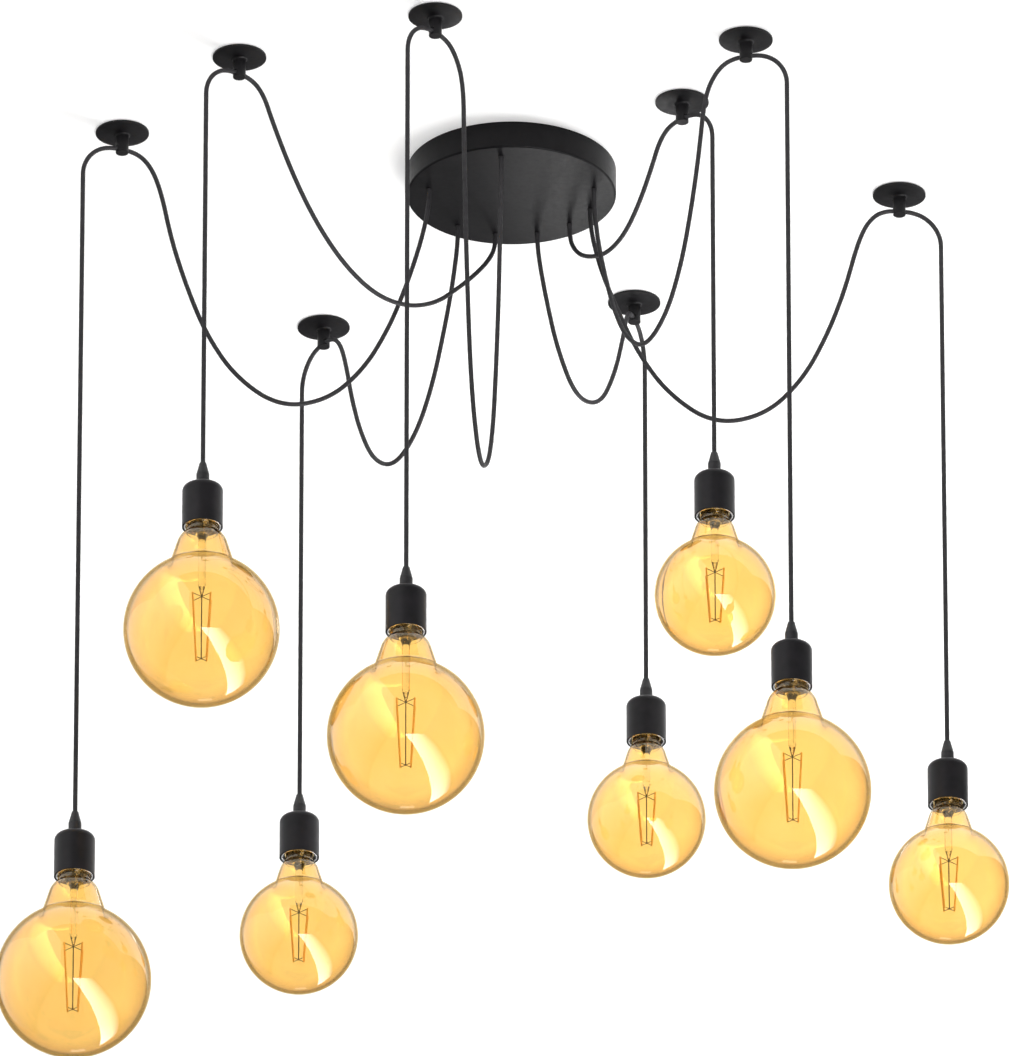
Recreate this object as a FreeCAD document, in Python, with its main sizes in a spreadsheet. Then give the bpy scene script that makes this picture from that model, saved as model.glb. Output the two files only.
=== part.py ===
import FreeCAD, Part
import math
import os

import Sketcher

# Cluster pendant: a round ceiling canopy feeds eight cords. Each cord hangs in a swag to a
# ceiling hook, passes through the hook's stem, bends over and drops straight to a lamp.
# Millimetres, +Z up, origin in the ceiling plane at the centre of the canopy.

doc = FreeCAD.newDocument("cluster_pendant")

# Driving dimensions, one row of the sheet each.
SIZES = [
    ("canopy_radius", 110.0),
    ("canopy_height", 30.0),
    ("canopy_wall", 1.5),
    ("canopy_edge_round", 2.0),
    ("cord_circle", 88.0),
    ("cord_hole_gap", 0.6),
    ("canopy_screw_drop", 9.0),
    ("canopy_screw_radius", 2.0),
    ("canopy_screw_length", 10.0),
    ("bracket_width", 22.0),
    ("bracket_plate", 1.8),
    ("bracket_ear", 16.0),
    ("bracket_gap", 0.4),
    ("bracket_hole_spacing", 70.0),
    ("wood_screw_radius", 1.95),
    ("wood_screw_shank_radius", 1.7),
    ("wood_screw_head_radius", 3.8),
    ("wood_screw_head_height", 2.4),
    ("wood_screw_grip", 25.0),
    ("thread_gap", 0.05),
    ("block_length", 38.0),
    ("block_width", 20.0),
    ("block_height", 16.0),
    ("block_pitch", 11.0),
    ("block_wire_radius", 1.9),
    ("block_well_radius", 2.6),
    ("block_well_depth", 5.0),
    ("block_well_spacing", 9.0),
    ("clamp_flange_radius", 8.5),
    ("clamp_flange_height", 2.5),
    ("clamp_nut_radius", 6.5),
    ("clamp_nut_height", 7.0),
    ("cord_radius", 2.4),
    ("hook_disc_radius", 28.0),
    ("hook_disc_edge", 2.2),
    ("hook_disc_dome", 1.6),
    ("hook_stem_radius", 6.7),
    ("hook_stem_length", 25.0),
    ("hook_stem_blend", 2.5),
    ("hook_stem_chamfer", 0.6),
    ("hook_eye_radius", 3.2),
    ("hook_eye_height", 20.5),
    ("hook_screw_radius", 2.5),
    ("hook_screw_depth", 12.0),
    ("swing_gap", 0.35),
    ("grip_gap", 0.5),
    ("grip_tip_radius", 3.1),
    ("grip_radius", 6.7),
    ("grip_cone_height", 13.0),
    ("grip_nut_height", 13.0),
    ("grip_thread_radius", 4.9),
    ("grip_thread_clearance", 1.7),
    ("cup_radius", 21.0),
    ("cup_height", 48.0),
    ("cup_wall", 1.5),
    ("cup_shoulder", 7.0),
    ("holder_gap", 0.3),
    ("holder_height", 36.0),
    ("holder_wall", 4.0),
    ("holder_ring_height", 3.0),
    ("holder_ring_inset", 0.3),
    ("holder_ring_bore", 17.5),
    ("holder_notches", 12),
    ("holder_notch_radius", 0.8),
    ("cap_radius", 13.1),
    ("cap_height", 23.0),
    ("cap_tip_radius", 4.6),
    ("cap_tip_height", 3.0),
    ("glass_wall", 0.9),
    ("stem_flare", 16.0),
    ("stem_gap", 0.3),
    ("stem_radius", 4.0),
    ("stem_tip", 13.0),
    ("strip_radius", 0.9),
    ("strip_top_circle", 13.0),
    ("strip_foot_circle", 7.5),
    ("support_radius", 0.6),
]

# Two sizes of globe bulb. Heights are above the globe's centre. The neck is a cone, widest at
# its foot, that the shoulder's arc rounds over to the throat and a hollow arc blends into the
# globe. The glass stem and the light strips inside it hang down from the throat.
GLOBE_FIELDS = (
    "globe", "neck", "neck_height", "neck_taper", "shoulder", "blend", "mouth_height", "throat",
    "glass_stem", "strip",
)
GLOBES = {
    "large": (80.0, 25.8, 99.2, 17.0, 22.0, 10.0, 117.0, 16.8, 69.0, 72.0),
    "small": (62.5, 20.3, 77.5, 17.0, 17.0, 8.0, 91.0, 15.2, 54.0, 56.0),
}

# Each lamp: globe size, angle of its hole in the canopy, hook position in the ceiling plane,
# direction of the hole through the hook, and depth of the cord grip below the ceiling.
LAMPS = [
    ("large", 190.0, -408.0, -86.0, 204.0, 802.0),
    ("large", 101.0, -283.0, -252.0, 220.0, 490.0),
    ("small", 130.0, -201.0, 353.0, 122.0, 540.0),
    ("large", 263.0, -79.0, -342.0, 230.0, 658.0),
    ("small", 72.0, 131.0, 296.0, 75.0, 429.0),
    ("small", 46.0, 178.0, -154.0, 315.0, 429.0),
    ("large", 350.0, 243.0, -290.0, 343.0, 684.0),
    ("small", 20.0, 409.0, 52.0, 8.0, 641.0),
]
LAMP_FIELDS = ("exit_angle", "hook_x", "hook_y", "hook_turn", "drop")

# The swag of each cord between the canopy and its hook, as points chosen by hand in the
# upright plane from the canopy hole to the hook: distance out, and height below the ceiling.
# Each leaves its hole straight down.
SWAGS = [
    [(0, -45), (4, -72), (12, -106), (25, -150), (43, -200), (69, -250), (107, -290),
     (158, -303), (205, -272), (236, -225), (257, -172), (274, -117)],
    [(0, -42), (9, -62), (33, -90), (66, -122), (106, -157), (157, -182), (212, -190),
     (266, -176), (314, -146), (353, -107)],
    [(0, -44), (5, -68), (16, -101), (35, -142), (61, -190), (101, -231), (154, -244),
     (203, -215), (236, -167), (259, -115)],
    [(0, -46), (2, -74), (6, -112), (11, -158), (17, -212), (26, -268), (37, -325),
     (52, -383), (79, -434), (124, -456), (163, -414), (184, -357), (196, -298),
     (206, -239), (213, -180), (219, -121)],
    [(0, -43), (6, -66), (19, -98), (43, -146), (85, -187), (138, -172), (172, -119)],
    [(0, -42), (7, -60), (27, -80), (58, -97), (96, -110), (137, -108), (172, -90)],
    [(0, -45), (4, -71), (13, -106), (29, -149), (52, -200), (84, -248), (131, -281),
     (186, -268), (225, -226), (251, -173), (271, -118)],
    [(0, -45), (4, -72), (13, -107), (29, -150), (50, -199), (81, -246), (129, -281),
     (183, -269), (222, -227), (248, -175), (268, -119)],
]

# The cord over a hook, in the upright plane of the hook's hole: distance out from the stem's
# axis and height below the ceiling. It climbs to the hole, runs through it and bends over.
HOOK_BEND = [(-45, -62), (-33, -34), (-16, -20.5), (16, -20.5), (34, -31), (44, -49), (44, -70)]

ARC_SHARE = 0.45

sheet = doc.addObject("Spreadsheet::Sheet", "sizes")
rows = list(SIZES)
for globe_size, values in GLOBES.items():
    rows += [(globe_size + "_" + field, value) for field, value in zip(GLOBE_FIELDS, values)]
for number, lamp in enumerate(LAMPS, 1):
    rows += [("lamp_%d_%s" % (number, field), value) for field, value in zip(LAMP_FIELDS, lamp[1:])]
for row, (alias, value) in enumerate(rows, 1):
    sheet.set("A%d" % row, alias)
    sheet.set("B%d" % row, str(value))
    sheet.setAlias("B%d" % row, alias)
doc.recompute()


# Where a sketch's geometry is first drawn, before its constraints pull it into place.
ROUGH_POINT = FreeCAD.Vector(10, 10, 0)
ROUGH_RADIUS = 5.0


def size(alias):
    """The sheet's value of one driving dimension."""
    return float(sheet.get(alias))


def polar(radius, angle):
    return radius * math.cos(math.radians(angle)), radius * math.sin(math.radians(angle))


def origin_plane(body, role):
    """One of a body's own origin planes."""
    return [f for f in body.Origin.OriginFeatures if f.Role == role][0]


def new_body(label):
    body = doc.addObject("PartDesign::Body", label)
    body.Label = label
    return body


def new_sketch(body, name, role, lift=None):
    """A sketch on one of the body's origin planes, lifted off it by an expression."""
    sketch = body.newObject("Sketcher::SketchObject", name)
    sketch.AttachmentSupport = (origin_plane(body, role), [""])
    sketch.MapMode = "FlatFace"
    if lift:
        sketch.setExpression("AttachmentOffset.Base.z", lift)
    return sketch


def pin_point(sketch, geo, pos, x, y, near=ROUGH_POINT):
    """Fixes a sketch point, drawn near a place, at the expressions x and y; '0' puts it on the
    axis."""
    if x == "0":
        sketch.addConstraint(Sketcher.Constraint("PointOnObject", geo, pos, -2))
    else:
        i = sketch.addConstraint(Sketcher.Constraint("DistanceX", -1, 1, geo, pos, near.x))
        sketch.setExpression("Constraints[%d]" % i, x)
    if y == "0":
        sketch.addConstraint(Sketcher.Constraint("PointOnObject", geo, pos, -1))
    else:
        i = sketch.addConstraint(Sketcher.Constraint("DistanceY", -1, 1, geo, pos, near.y))
        sketch.setExpression("Constraints[%d]" % i, y)


def set_radius(sketch, geo, radius, near=ROUGH_RADIUS):
    i = sketch.addConstraint(Sketcher.Constraint("Radius", geo, near))
    sketch.setExpression("Constraints[%d]" % i, radius)


def draw_polygon(sketch, outline):
    """A closed outline whose corners are pairs of expressions."""
    count = len(outline)
    turns = [polar(ROUGH_RADIUS, 360.0 * i / count) for i in range(count)]
    corners = [ROUGH_POINT + FreeCAD.Vector(x, y, 0) for x, y in turns]
    for i in range(count):
        sketch.addGeometry(Part.LineSegment(corners[i], corners[(i + 1) % count]), False)
    for i in range(count):
        sketch.addConstraint(Sketcher.Constraint("Coincident", i, 2, (i + 1) % count, 1))
    for i, (x, y) in enumerate(outline):
        pin_point(sketch, i, 1, x, y)


def draw_circle(sketch, x, y, radius):
    """A circle whose centre and radius are expressions."""
    circle = Part.Circle(ROUGH_POINT, FreeCAD.Vector(0, 0, 1), ROUGH_RADIUS)
    geo = sketch.addGeometry(circle, False)
    pin_point(sketch, geo, 3, x, y)
    set_radius(sketch, geo, radius)


def spin(body, sketch, kind="PartDesign::Revolution"):
    """A full turn of a sketch about the body's own Z axis."""
    turn = body.newObject(kind, "turn")
    turn.Profile = sketch
    turn.ReferenceAxis = (sketch, ["V_Axis"])
    turn.Angle = 360
    doc.recompute()
    return turn


def lathe(label, outline):
    """A turned piece. The outline lists radius and height expressions."""
    body = new_body(label)
    sketch = new_sketch(body, "profile", "XZ_Plane")
    draw_polygon(sketch, outline)
    spin(body, sketch)
    return body


def pad(body, sketch, length, midplane=False):
    block = body.newObject("PartDesign::Pad", "pad")
    block.Profile = sketch
    block.setExpression("Length", length)
    block.Midplane = midplane
    doc.recompute()
    return block


def cut_through(body, sketch, both_ways=True):
    """A pocket through everything, on both sides of its sketch if asked."""
    before = body.Shape.Volume
    hole = body.newObject("PartDesign::Pocket", "hole")
    hole.Profile = sketch
    hole.Type = "ThroughAll"
    hole.Midplane = both_ways
    doc.recompute()
    if not body.Shape.Volume < before - 0.01:
        raise RuntimeError(body.Label + ": a hole cuts nothing")
    return hole


def cut_in(body, sketch, depth):
    """A pocket of that depth, up from a sketch on the piece's underside."""
    before = body.Shape.Volume
    hollow = body.newObject("PartDesign::Pocket", "hollow")
    hollow.Profile = sketch
    hollow.Reversed = True
    hollow.setExpression("Length", depth)
    doc.recompute()
    if not body.Shape.Volume < before - 0.01:
        raise RuntimeError(body.Label + ": a hollow cuts nothing")


def round_edges(body, radius, edge_radius, edge_height):
    """A fillet on the body's level circular edge of that radius and height."""
    base = body.Tip
    names = [
        "Edge%d" % (i + 1)
        for i, edge in enumerate(base.Shape.Edges)
        if edge.BoundBox.ZLength < 0.01
        and abs(edge.BoundBox.ZMax - edge_height) < 0.01
        and abs(edge.BoundBox.XMax - edge_radius) < 0.01
    ]
    rounding = body.newObject("PartDesign::Fillet", "rounding")
    rounding.Base = (base, names)
    rounding.setExpression("Radius", radius)
    doc.recompute()


def place(item, x=0.0, y=0.0, z=0.0, turn=0.0):
    item.Placement = FreeCAD.Placement(
        FreeCAD.Vector(x, y, z), FreeCAD.Rotation(FreeCAD.Vector(0, 0, 1), turn)
    )
    return item


def group(label, members):
    """Separate solids that share one node."""
    compound = doc.addObject("Part::Compound", label)
    compound.Label = label
    compound.Links = members
    return compound


nodes = []

# ---- canopy -------------------------------------------------------------------------
# A spun steel pan, open towards the ceiling, with one hole for each cord in its floor and a
# screw hole at each end of the bracket.
canopy = new_body("canopy_cup")
disc = new_sketch(canopy, "disc", "XY_Plane", "-sizes.canopy_height")
draw_circle(disc, "0", "0", "sizes.canopy_radius")
pad(canopy, disc, "sizes.canopy_height")
round_edges(canopy, "sizes.canopy_edge_round", size("canopy_radius"), -size("canopy_height"))
inside = new_sketch(canopy, "inside", "XY_Plane", "-sizes.canopy_height + sizes.canopy_wall")
draw_circle(inside, "0", "0", "sizes.canopy_radius - sizes.canopy_wall")
cut_in(canopy, inside, "sizes.canopy_height")
cord_holes = new_sketch(canopy, "cord_holes", "XY_Plane")
for number in range(1, len(LAMPS) + 1):
    angle = "sizes.lamp_%d_exit_angle * 1 deg" % number
    draw_circle(
        cord_holes,
        "sizes.cord_circle * cos(%s)" % angle,
        "sizes.cord_circle * sin(%s)" % angle,
        "sizes.cord_radius + sizes.cord_hole_gap",
    )
cut_through(canopy, cord_holes)
screw_hole = new_sketch(canopy, "screw_hole", "YZ_Plane")
draw_circle(
    screw_hole, "0", "-sizes.canopy_screw_drop", "sizes.canopy_screw_radius + 4 * sizes.thread_gap"
)
cut_through(canopy, screw_hole)
nodes.append(canopy)

# ---- ceiling bracket ----------------------------------------------------------------
# A steel strip bent down at both ends. Two wood screws hold it to the ceiling, and a grub
# screw through each ear holds the canopy.
bracket = new_body("ceiling_bracket")
strip = new_sketch(bracket, "strip", "XZ_Plane")
canopy_inside = "sizes.canopy_radius - sizes.canopy_wall - sizes.bracket_gap"
outer = "sqrt((%s)^2 - (sizes.bracket_width / 2)^2)" % canopy_inside
inner = outer + " - sizes.bracket_plate"
draw_polygon(
    strip,
    [
        (outer, "0"),
        (outer, "-sizes.bracket_ear"),
        (inner, "-sizes.bracket_ear"),
        (inner, "-sizes.bracket_plate"),
        ("-(" + inner + ")", "-sizes.bracket_plate"),
        ("-(" + inner + ")", "-sizes.bracket_ear"),
        ("-(" + outer + ")", "-sizes.bracket_ear"),
        ("-(" + outer + ")", "0"),
    ],
)
pad(bracket, strip, "sizes.bracket_width", midplane=True)
ceiling_holes = new_sketch(bracket, "ceiling_holes", "XY_Plane")
for side in ("", "-"):
    draw_circle(
        ceiling_holes,
        side + "sizes.bracket_hole_spacing / 2",
        "0",
        "sizes.wood_screw_radius + sizes.thread_gap",
    )
cut_through(bracket, ceiling_holes)
ear_hole = new_sketch(bracket, "ear_hole", "YZ_Plane")
draw_circle(
    ear_hole, "0", "-sizes.canopy_screw_drop", "sizes.canopy_screw_radius + sizes.thread_gap"
)
cut_through(bracket, ear_hole)
nodes.append(bracket)

# Wood screws of the bracket: pan head under the strip, smooth shank through it, and the
# thread up in the ceiling.
head_top = "-sizes.bracket_plate"
head_foot = head_top + " - sizes.wood_screw_head_height"
thread_end = "sizes.wood_screw_grip - 2 * sizes.wood_screw_radius"
bracket_screws = []
for side in (-1, 1):
    screw = lathe(
        "bracket_screw",
        [
            ("0", head_foot),
            ("sizes.wood_screw_head_radius * 0.7", head_foot),
            ("sizes.wood_screw_head_radius", head_top + " - sizes.wood_screw_head_height * 0.5"),
            ("sizes.wood_screw_head_radius", head_top),
            ("sizes.wood_screw_shank_radius", head_top),
            ("sizes.wood_screw_shank_radius", "0"),
            ("sizes.wood_screw_radius", "0"),
            ("sizes.wood_screw_radius", thread_end),
            ("0", "sizes.wood_screw_grip"),
        ],
    )
    bracket_screws.append(place(screw, x=side * size("bracket_hole_spacing") / 2))
nodes.append(group("bracket_screws", bracket_screws))

# Grub screws through the canopy's wall into the bracket's ears, flush outside.
canopy_screws = []
for side in (-1, 1):
    screw = doc.addObject("Part::Cylinder", "canopy_screw")
    screw.setExpression("Radius", "sizes.canopy_screw_radius")
    screw.setExpression("Height", "sizes.canopy_screw_length")
    screw.Placement = FreeCAD.Placement(
        FreeCAD.Vector(side * size("canopy_radius"), 0, -size("canopy_screw_drop")),
        FreeCAD.Rotation(FreeCAD.Vector(0, 1, 0), -90 * side),
    )
    canopy_screws.append(screw)
nodes.append(group("canopy_screws", canopy_screws))

# Three-pole terminal block screwed up against the bracket, with a wire way through each pole
# and two wells under it for the clamping screws.
block = new_body("terminal_block")
block_face = new_sketch(block, "face", "XY_Plane", "-sizes.bracket_plate - sizes.block_height")
half_long = "sizes.block_length / 2"
half_wide = "sizes.block_width / 2"
draw_polygon(
    block_face,
    [
        (half_long, half_wide),
        ("-" + half_long, half_wide),
        ("-" + half_long, "-" + half_wide),
        (half_long, "-" + half_wide),
    ],
)
pad(block, block_face, "sizes.block_height")
wire_ways = new_sketch(block, "wire_ways", "XZ_Plane")
wire_height = "-sizes.bracket_plate - sizes.block_height / 2"
for x in ("-sizes.block_pitch", "0", "sizes.block_pitch"):
    draw_circle(wire_ways, x, wire_height, "sizes.block_wire_radius")
cut_through(block, wire_ways)
wells = new_sketch(block, "wells", "XY_Plane", "-sizes.bracket_plate - sizes.block_height")
for x in ("-sizes.block_pitch", "0", "sizes.block_pitch"):
    for side in ("", "-"):
        draw_circle(wells, x, side + "sizes.block_well_spacing / 2", "sizes.block_well_radius")
cut_in(block, wells, "sizes.block_well_depth")
nodes.append(block)

# Cord clamps inside the canopy, one over each hole: a flange and a nut that grip the cord.
clamps = []
for number in range(1, len(LAMPS) + 1):
    clamp = lathe(
        "cord_clamp",
        [
            ("0", "0"),
            ("sizes.clamp_flange_radius", "0"),
            ("sizes.clamp_flange_radius", "sizes.clamp_flange_height"),
            ("sizes.clamp_nut_radius", "sizes.clamp_flange_height"),
            ("sizes.clamp_nut_radius", "sizes.clamp_flange_height + sizes.clamp_nut_height"),
            ("0", "sizes.clamp_flange_height + sizes.clamp_nut_height"),
        ],
    )
    x, y = polar(size("cord_circle"), size("lamp_%d_exit_angle" % number))
    clamps.append(place(clamp, x, y, -size("canopy_height") + size("canopy_wall")))
nodes.append(group("cord_clamps", clamps))

# ---- ceiling hooks ------------------------------------------------------------------
# Each hook is turned in one piece: a thin domed disc against the ceiling and a stem with a
# cross hole that the cord runs through. A hanger screw, machine thread below and wood
# thread above, holds it to the ceiling.
disc_foot = "-sizes.hook_disc_edge - sizes.hook_disc_dome"
stem_foot = "-sizes.hook_stem_length"
screw_hole_radius = "sizes.hook_screw_radius + sizes.thread_gap"
hooks = []
hook_screws = []
for number in range(1, len(LAMPS) + 1):
    hook = lathe(
        "ceiling_hook",
        [
            ("0", stem_foot),
            ("sizes.hook_stem_radius - sizes.hook_stem_chamfer", stem_foot),
            ("sizes.hook_stem_radius", stem_foot + " + sizes.hook_stem_chamfer"),
            ("sizes.hook_stem_radius", disc_foot + " - sizes.hook_stem_blend"),
            ("sizes.hook_stem_radius + sizes.hook_stem_blend", disc_foot),
            (
                "sizes.hook_disc_radius - 2 * sizes.hook_disc_dome",
                disc_foot + " + 0.4 * sizes.hook_disc_dome",
            ),
            ("sizes.hook_disc_radius", "-sizes.hook_disc_edge"),
            ("sizes.hook_disc_radius", "0"),
            (screw_hole_radius, "0"),
            (screw_hole_radius, "-sizes.hook_screw_depth"),
            ("0", "-sizes.hook_screw_depth"),
        ],
    )
    eye = new_sketch(hook, "eye", "YZ_Plane")
    draw_circle(eye, "0", "-sizes.hook_eye_height", "sizes.hook_eye_radius")
    cut_through(hook, eye)
    at = {"x": size("lamp_%d_hook_x" % number), "y": size("lamp_%d_hook_y" % number)}
    hooks.append(place(hook, turn=size("lamp_%d_hook_turn" % number), **at))
    screw = lathe(
        "hook_screw",
        [
            ("0", "-sizes.hook_screw_depth"),
            ("sizes.hook_screw_radius", "-sizes.hook_screw_depth"),
            ("sizes.hook_screw_radius", "0"),
            ("sizes.wood_screw_radius", "0"),
            ("sizes.wood_screw_radius", thread_end),
            ("0", "sizes.wood_screw_grip"),
        ],
    )
    hook_screws.append(place(screw, **at))
nodes.append(group("ceiling_hooks", hooks))
nodes.append(group("hook_screws", hook_screws))


# ---- cords --------------------------------------------------------------------------
def tube_along(label, points, radius):
    """A round cord along straight runs that tangent arcs join."""
    points = [FreeCAD.Vector(*p) for p in points]
    edges = []
    start = points[0]
    radii = []
    for before, corner, after in zip(points, points[1:], points[2:]):
        into = corner - before
        out = after - corner
        turn = into.getAngle(out)
        tangent = ARC_SHARE * min(into.Length, out.Length)
        radii.append(tangent / math.tan(turn / 2))
        into_unit = FreeCAD.Vector(into).normalize()
        out_unit = FreeCAD.Vector(out).normalize()
        arc_start = corner - into_unit * tangent
        arc_end = corner + out_unit * tangent
        inward = (out_unit - into_unit).normalize()
        depth = radii[-1] * (1 / math.cos(turn / 2) - 1)
        middle = corner + inward * depth
        edges.append(Part.LineSegment(start, arc_start).toShape())
        edges.append(Part.Arc(arc_start, middle, arc_end).toShape())
        start = arc_end
    edges.append(Part.LineSegment(start, points[-1]).toShape())
    path = Part.Wire(edges)
    section = Part.Wire(Part.makeCircle(radius, points[0], points[1] - points[0]))
    solid = path.makePipeShell([section], True, False)
    tube = doc.addObject("Part::Feature", label)
    tube.Label = label
    tube.Shape = solid
    expected = math.pi * radius ** 2 * path.Length
    print(
        "%s: length %.0f, volume ratio %.4f, smallest radius %.1f, radii %s"
        % (label, path.Length, solid.Volume / expected, min(radii), [round(r) for r in radii])
    )
    return tube


cord_radius = size("cord_radius")
for number, swag in enumerate(SWAGS, 1):
    exit_x, exit_y = polar(size("cord_circle"), size("lamp_%d_exit_angle" % number))
    hook_x = size("lamp_%d_hook_x" % number)
    hook_y = size("lamp_%d_hook_y" % number)
    out_x, out_y = polar(1.0, size("lamp_%d_hook_turn" % number))
    foot_x = hook_x + HOOK_BEND[0][0] * out_x
    foot_y = hook_y + HOOK_BEND[0][0] * out_y
    span = math.hypot(foot_x - exit_x, foot_y - exit_y)
    along_x = (foot_x - exit_x) / span
    along_y = (foot_y - exit_y) / span
    route = [(exit_x, exit_y, -size("canopy_height") + size("canopy_wall"))]
    route += [(exit_x + along_x * t, exit_y + along_y * t, z) for t, z in swag]
    route += [(hook_x + out_x * t, hook_y + out_y * t, z) for t, z in HOOK_BEND]
    nodes.append(tube_along("swag_cord_%d" % number, route, cord_radius))

# ---- lamps --------------------------------------------------------------------------
drop_reach = HOOK_BEND[-1][0]
drop_top = HOOK_BEND[-1][1] - size("swing_gap") - cord_radius


def arc_between(centre, radius, start_angle, end_angle):
    circle = Part.Circle(FreeCAD.Vector(*centre, 0), FreeCAD.Vector(0, 0, 1), radius)
    return Part.ArcOfCircle(circle, math.radians(start_angle), math.radians(end_angle))


def draw_globe(sketch, kind, inset):
    """Half the outline of the glass, set in by an expression: globe arc, hollow blend, neck
    cone, shoulder arc, throat. Drawn where the sizes put it, then held by constraints."""
    gap = 0.0 if inset == "0" else size(inset.replace("sizes.", ""))
    taper = size(kind + "_neck_taper")
    normal = FreeCAD.Vector(*polar(1.0, taper), 0)
    down = FreeCAD.Vector(*polar(1.0, taper - 90), 0)
    globe = size(kind + "_globe") - gap
    shoulder = size(kind + "_shoulder") - gap
    blend = size(kind + "_blend") + gap
    throat = size(kind + "_throat") - gap
    top = size(kind + "_mouth_height") + size("holder_ring_inset") + size("holder_ring_height")
    neck = FreeCAD.Vector(size(kind + "_neck"), size(kind + "_neck_height"), 0) - normal * gap
    shoulder_centre = neck - normal * shoulder
    shoulder_end = math.degrees(math.acos((throat - shoulder_centre.x) / shoulder))
    shoulder_top = shoulder_centre.y + polar(shoulder, shoulder_end)[1]
    # the blend's centre lies beside the neck cone and one blend radius outside the globe
    beside = neck + normal * blend
    along = beside.dot(down)
    drop = -along - math.sqrt(along ** 2 - beside.dot(beside) + (globe + blend) ** 2)
    blend_centre = beside + down * drop
    tilt = math.degrees(math.atan2(blend_centre.y, blend_centre.x))
    neck_foot = neck + down * drop
    corners = [
        FreeCAD.Vector(throat, shoulder_top, 0),
        FreeCAD.Vector(throat, top, 0),
        FreeCAD.Vector(0, top, 0),
        FreeCAD.Vector(0, -globe, 0),
    ]
    outline = [
        arc_between((0, 0), globe, -90, tilt),
        arc_between((blend_centre.x, blend_centre.y), blend, taper + 180, tilt + 180),
        Part.LineSegment(neck_foot, neck),
        arc_between((shoulder_centre.x, shoulder_centre.y), shoulder, taper, shoulder_end),
    ]
    outline += [Part.LineSegment(a, b) for a, b in zip(corners, corners[1:])]
    sketch.addGeometry(outline, False)
    globe_arc, blend_arc, neck_line, shoulder_arc, throat_line, top_line, axis_line = range(7)
    # (piece, its end) pairs; an arc runs anticlockwise from end 1 to end 2
    for piece, end, following, start in (
        (globe_arc, 2, blend_arc, 2),
        (blend_arc, 1, neck_line, 1),
        (neck_line, 2, shoulder_arc, 1),
    ):
        sketch.addConstraint(Sketcher.Constraint("Tangent", piece, end, following, start))
    for piece, end, following in (
        (shoulder_arc, 2, throat_line),
        (throat_line, 2, top_line),
        (top_line, 2, axis_line),
    ):
        sketch.addConstraint(Sketcher.Constraint("Coincident", piece, end, following, 1))
    sketch.addConstraint(Sketcher.Constraint("Coincident", axis_line, 2, globe_arc, 1))
    sketch.addConstraint(Sketcher.Constraint("Coincident", globe_arc, 3, -1, 1))
    sketch.addConstraint(Sketcher.Constraint("PointOnObject", globe_arc, 1, -2))
    sketch.addConstraint(Sketcher.Constraint("PointOnObject", top_line, 2, -2))
    sketch.addConstraint(Sketcher.Constraint("Horizontal", top_line))
    sketch.addConstraint(Sketcher.Constraint("Vertical", throat_line))
    field = "sizes." + kind + "_"
    set_radius(sketch, globe_arc, "%sglobe - %s" % (field, inset), globe)
    set_radius(sketch, blend_arc, "%sblend + %s" % (field, inset), blend)
    set_radius(sketch, shoulder_arc, "%sshoulder - %s" % (field, inset), shoulder)
    turned = "%sneck_taper * 1 deg" % field
    pin_point(
        sketch,
        neck_line,
        2,
        "%sneck - %s * cos(%s)" % (field, inset, turned),
        "%sneck_height - %s * sin(%s)" % (field, inset, turned),
        neck,
    )
    pin_point(
        sketch,
        throat_line,
        2,
        "%sthroat - %s" % (field, inset),
        "%smouth_height + sizes.holder_ring_inset + sizes.holder_ring_height" % field,
        corners[1],
    )
    i = sketch.addConstraint(
        Sketcher.Constraint("Angle", neck_line, math.radians(90 + taper))
    )
    sketch.setExpression("Constraints[%d]" % i, "90 deg + " + turned)


def glass_envelope(kind):
    """The blown glass: the outer outline turned, less the same outline one wall further in."""
    body = new_body("bulb_glass")
    outside = new_sketch(body, "outside", "XZ_Plane")
    draw_globe(outside, kind, "0")
    spin(body, outside)
    inside_outline = new_sketch(body, "inside", "XZ_Plane")
    draw_globe(inside_outline, kind, "sizes.glass_wall")
    spin(body, inside_outline, "PartDesign::Groove")
    return body


def rod(label, radius, start, end):
    """A round rod between two points."""
    way = FreeCAD.Vector(*end) - FreeCAD.Vector(*start)
    item = doc.addObject("Part::Cylinder", label)
    item.setExpression("Radius", radius)
    item.Height = way.Length
    item.Placement = FreeCAD.Placement(
        FreeCAD.Vector(*start), FreeCAD.Rotation(FreeCAD.Vector(0, 0, 1), way)
    )
    return item


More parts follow.
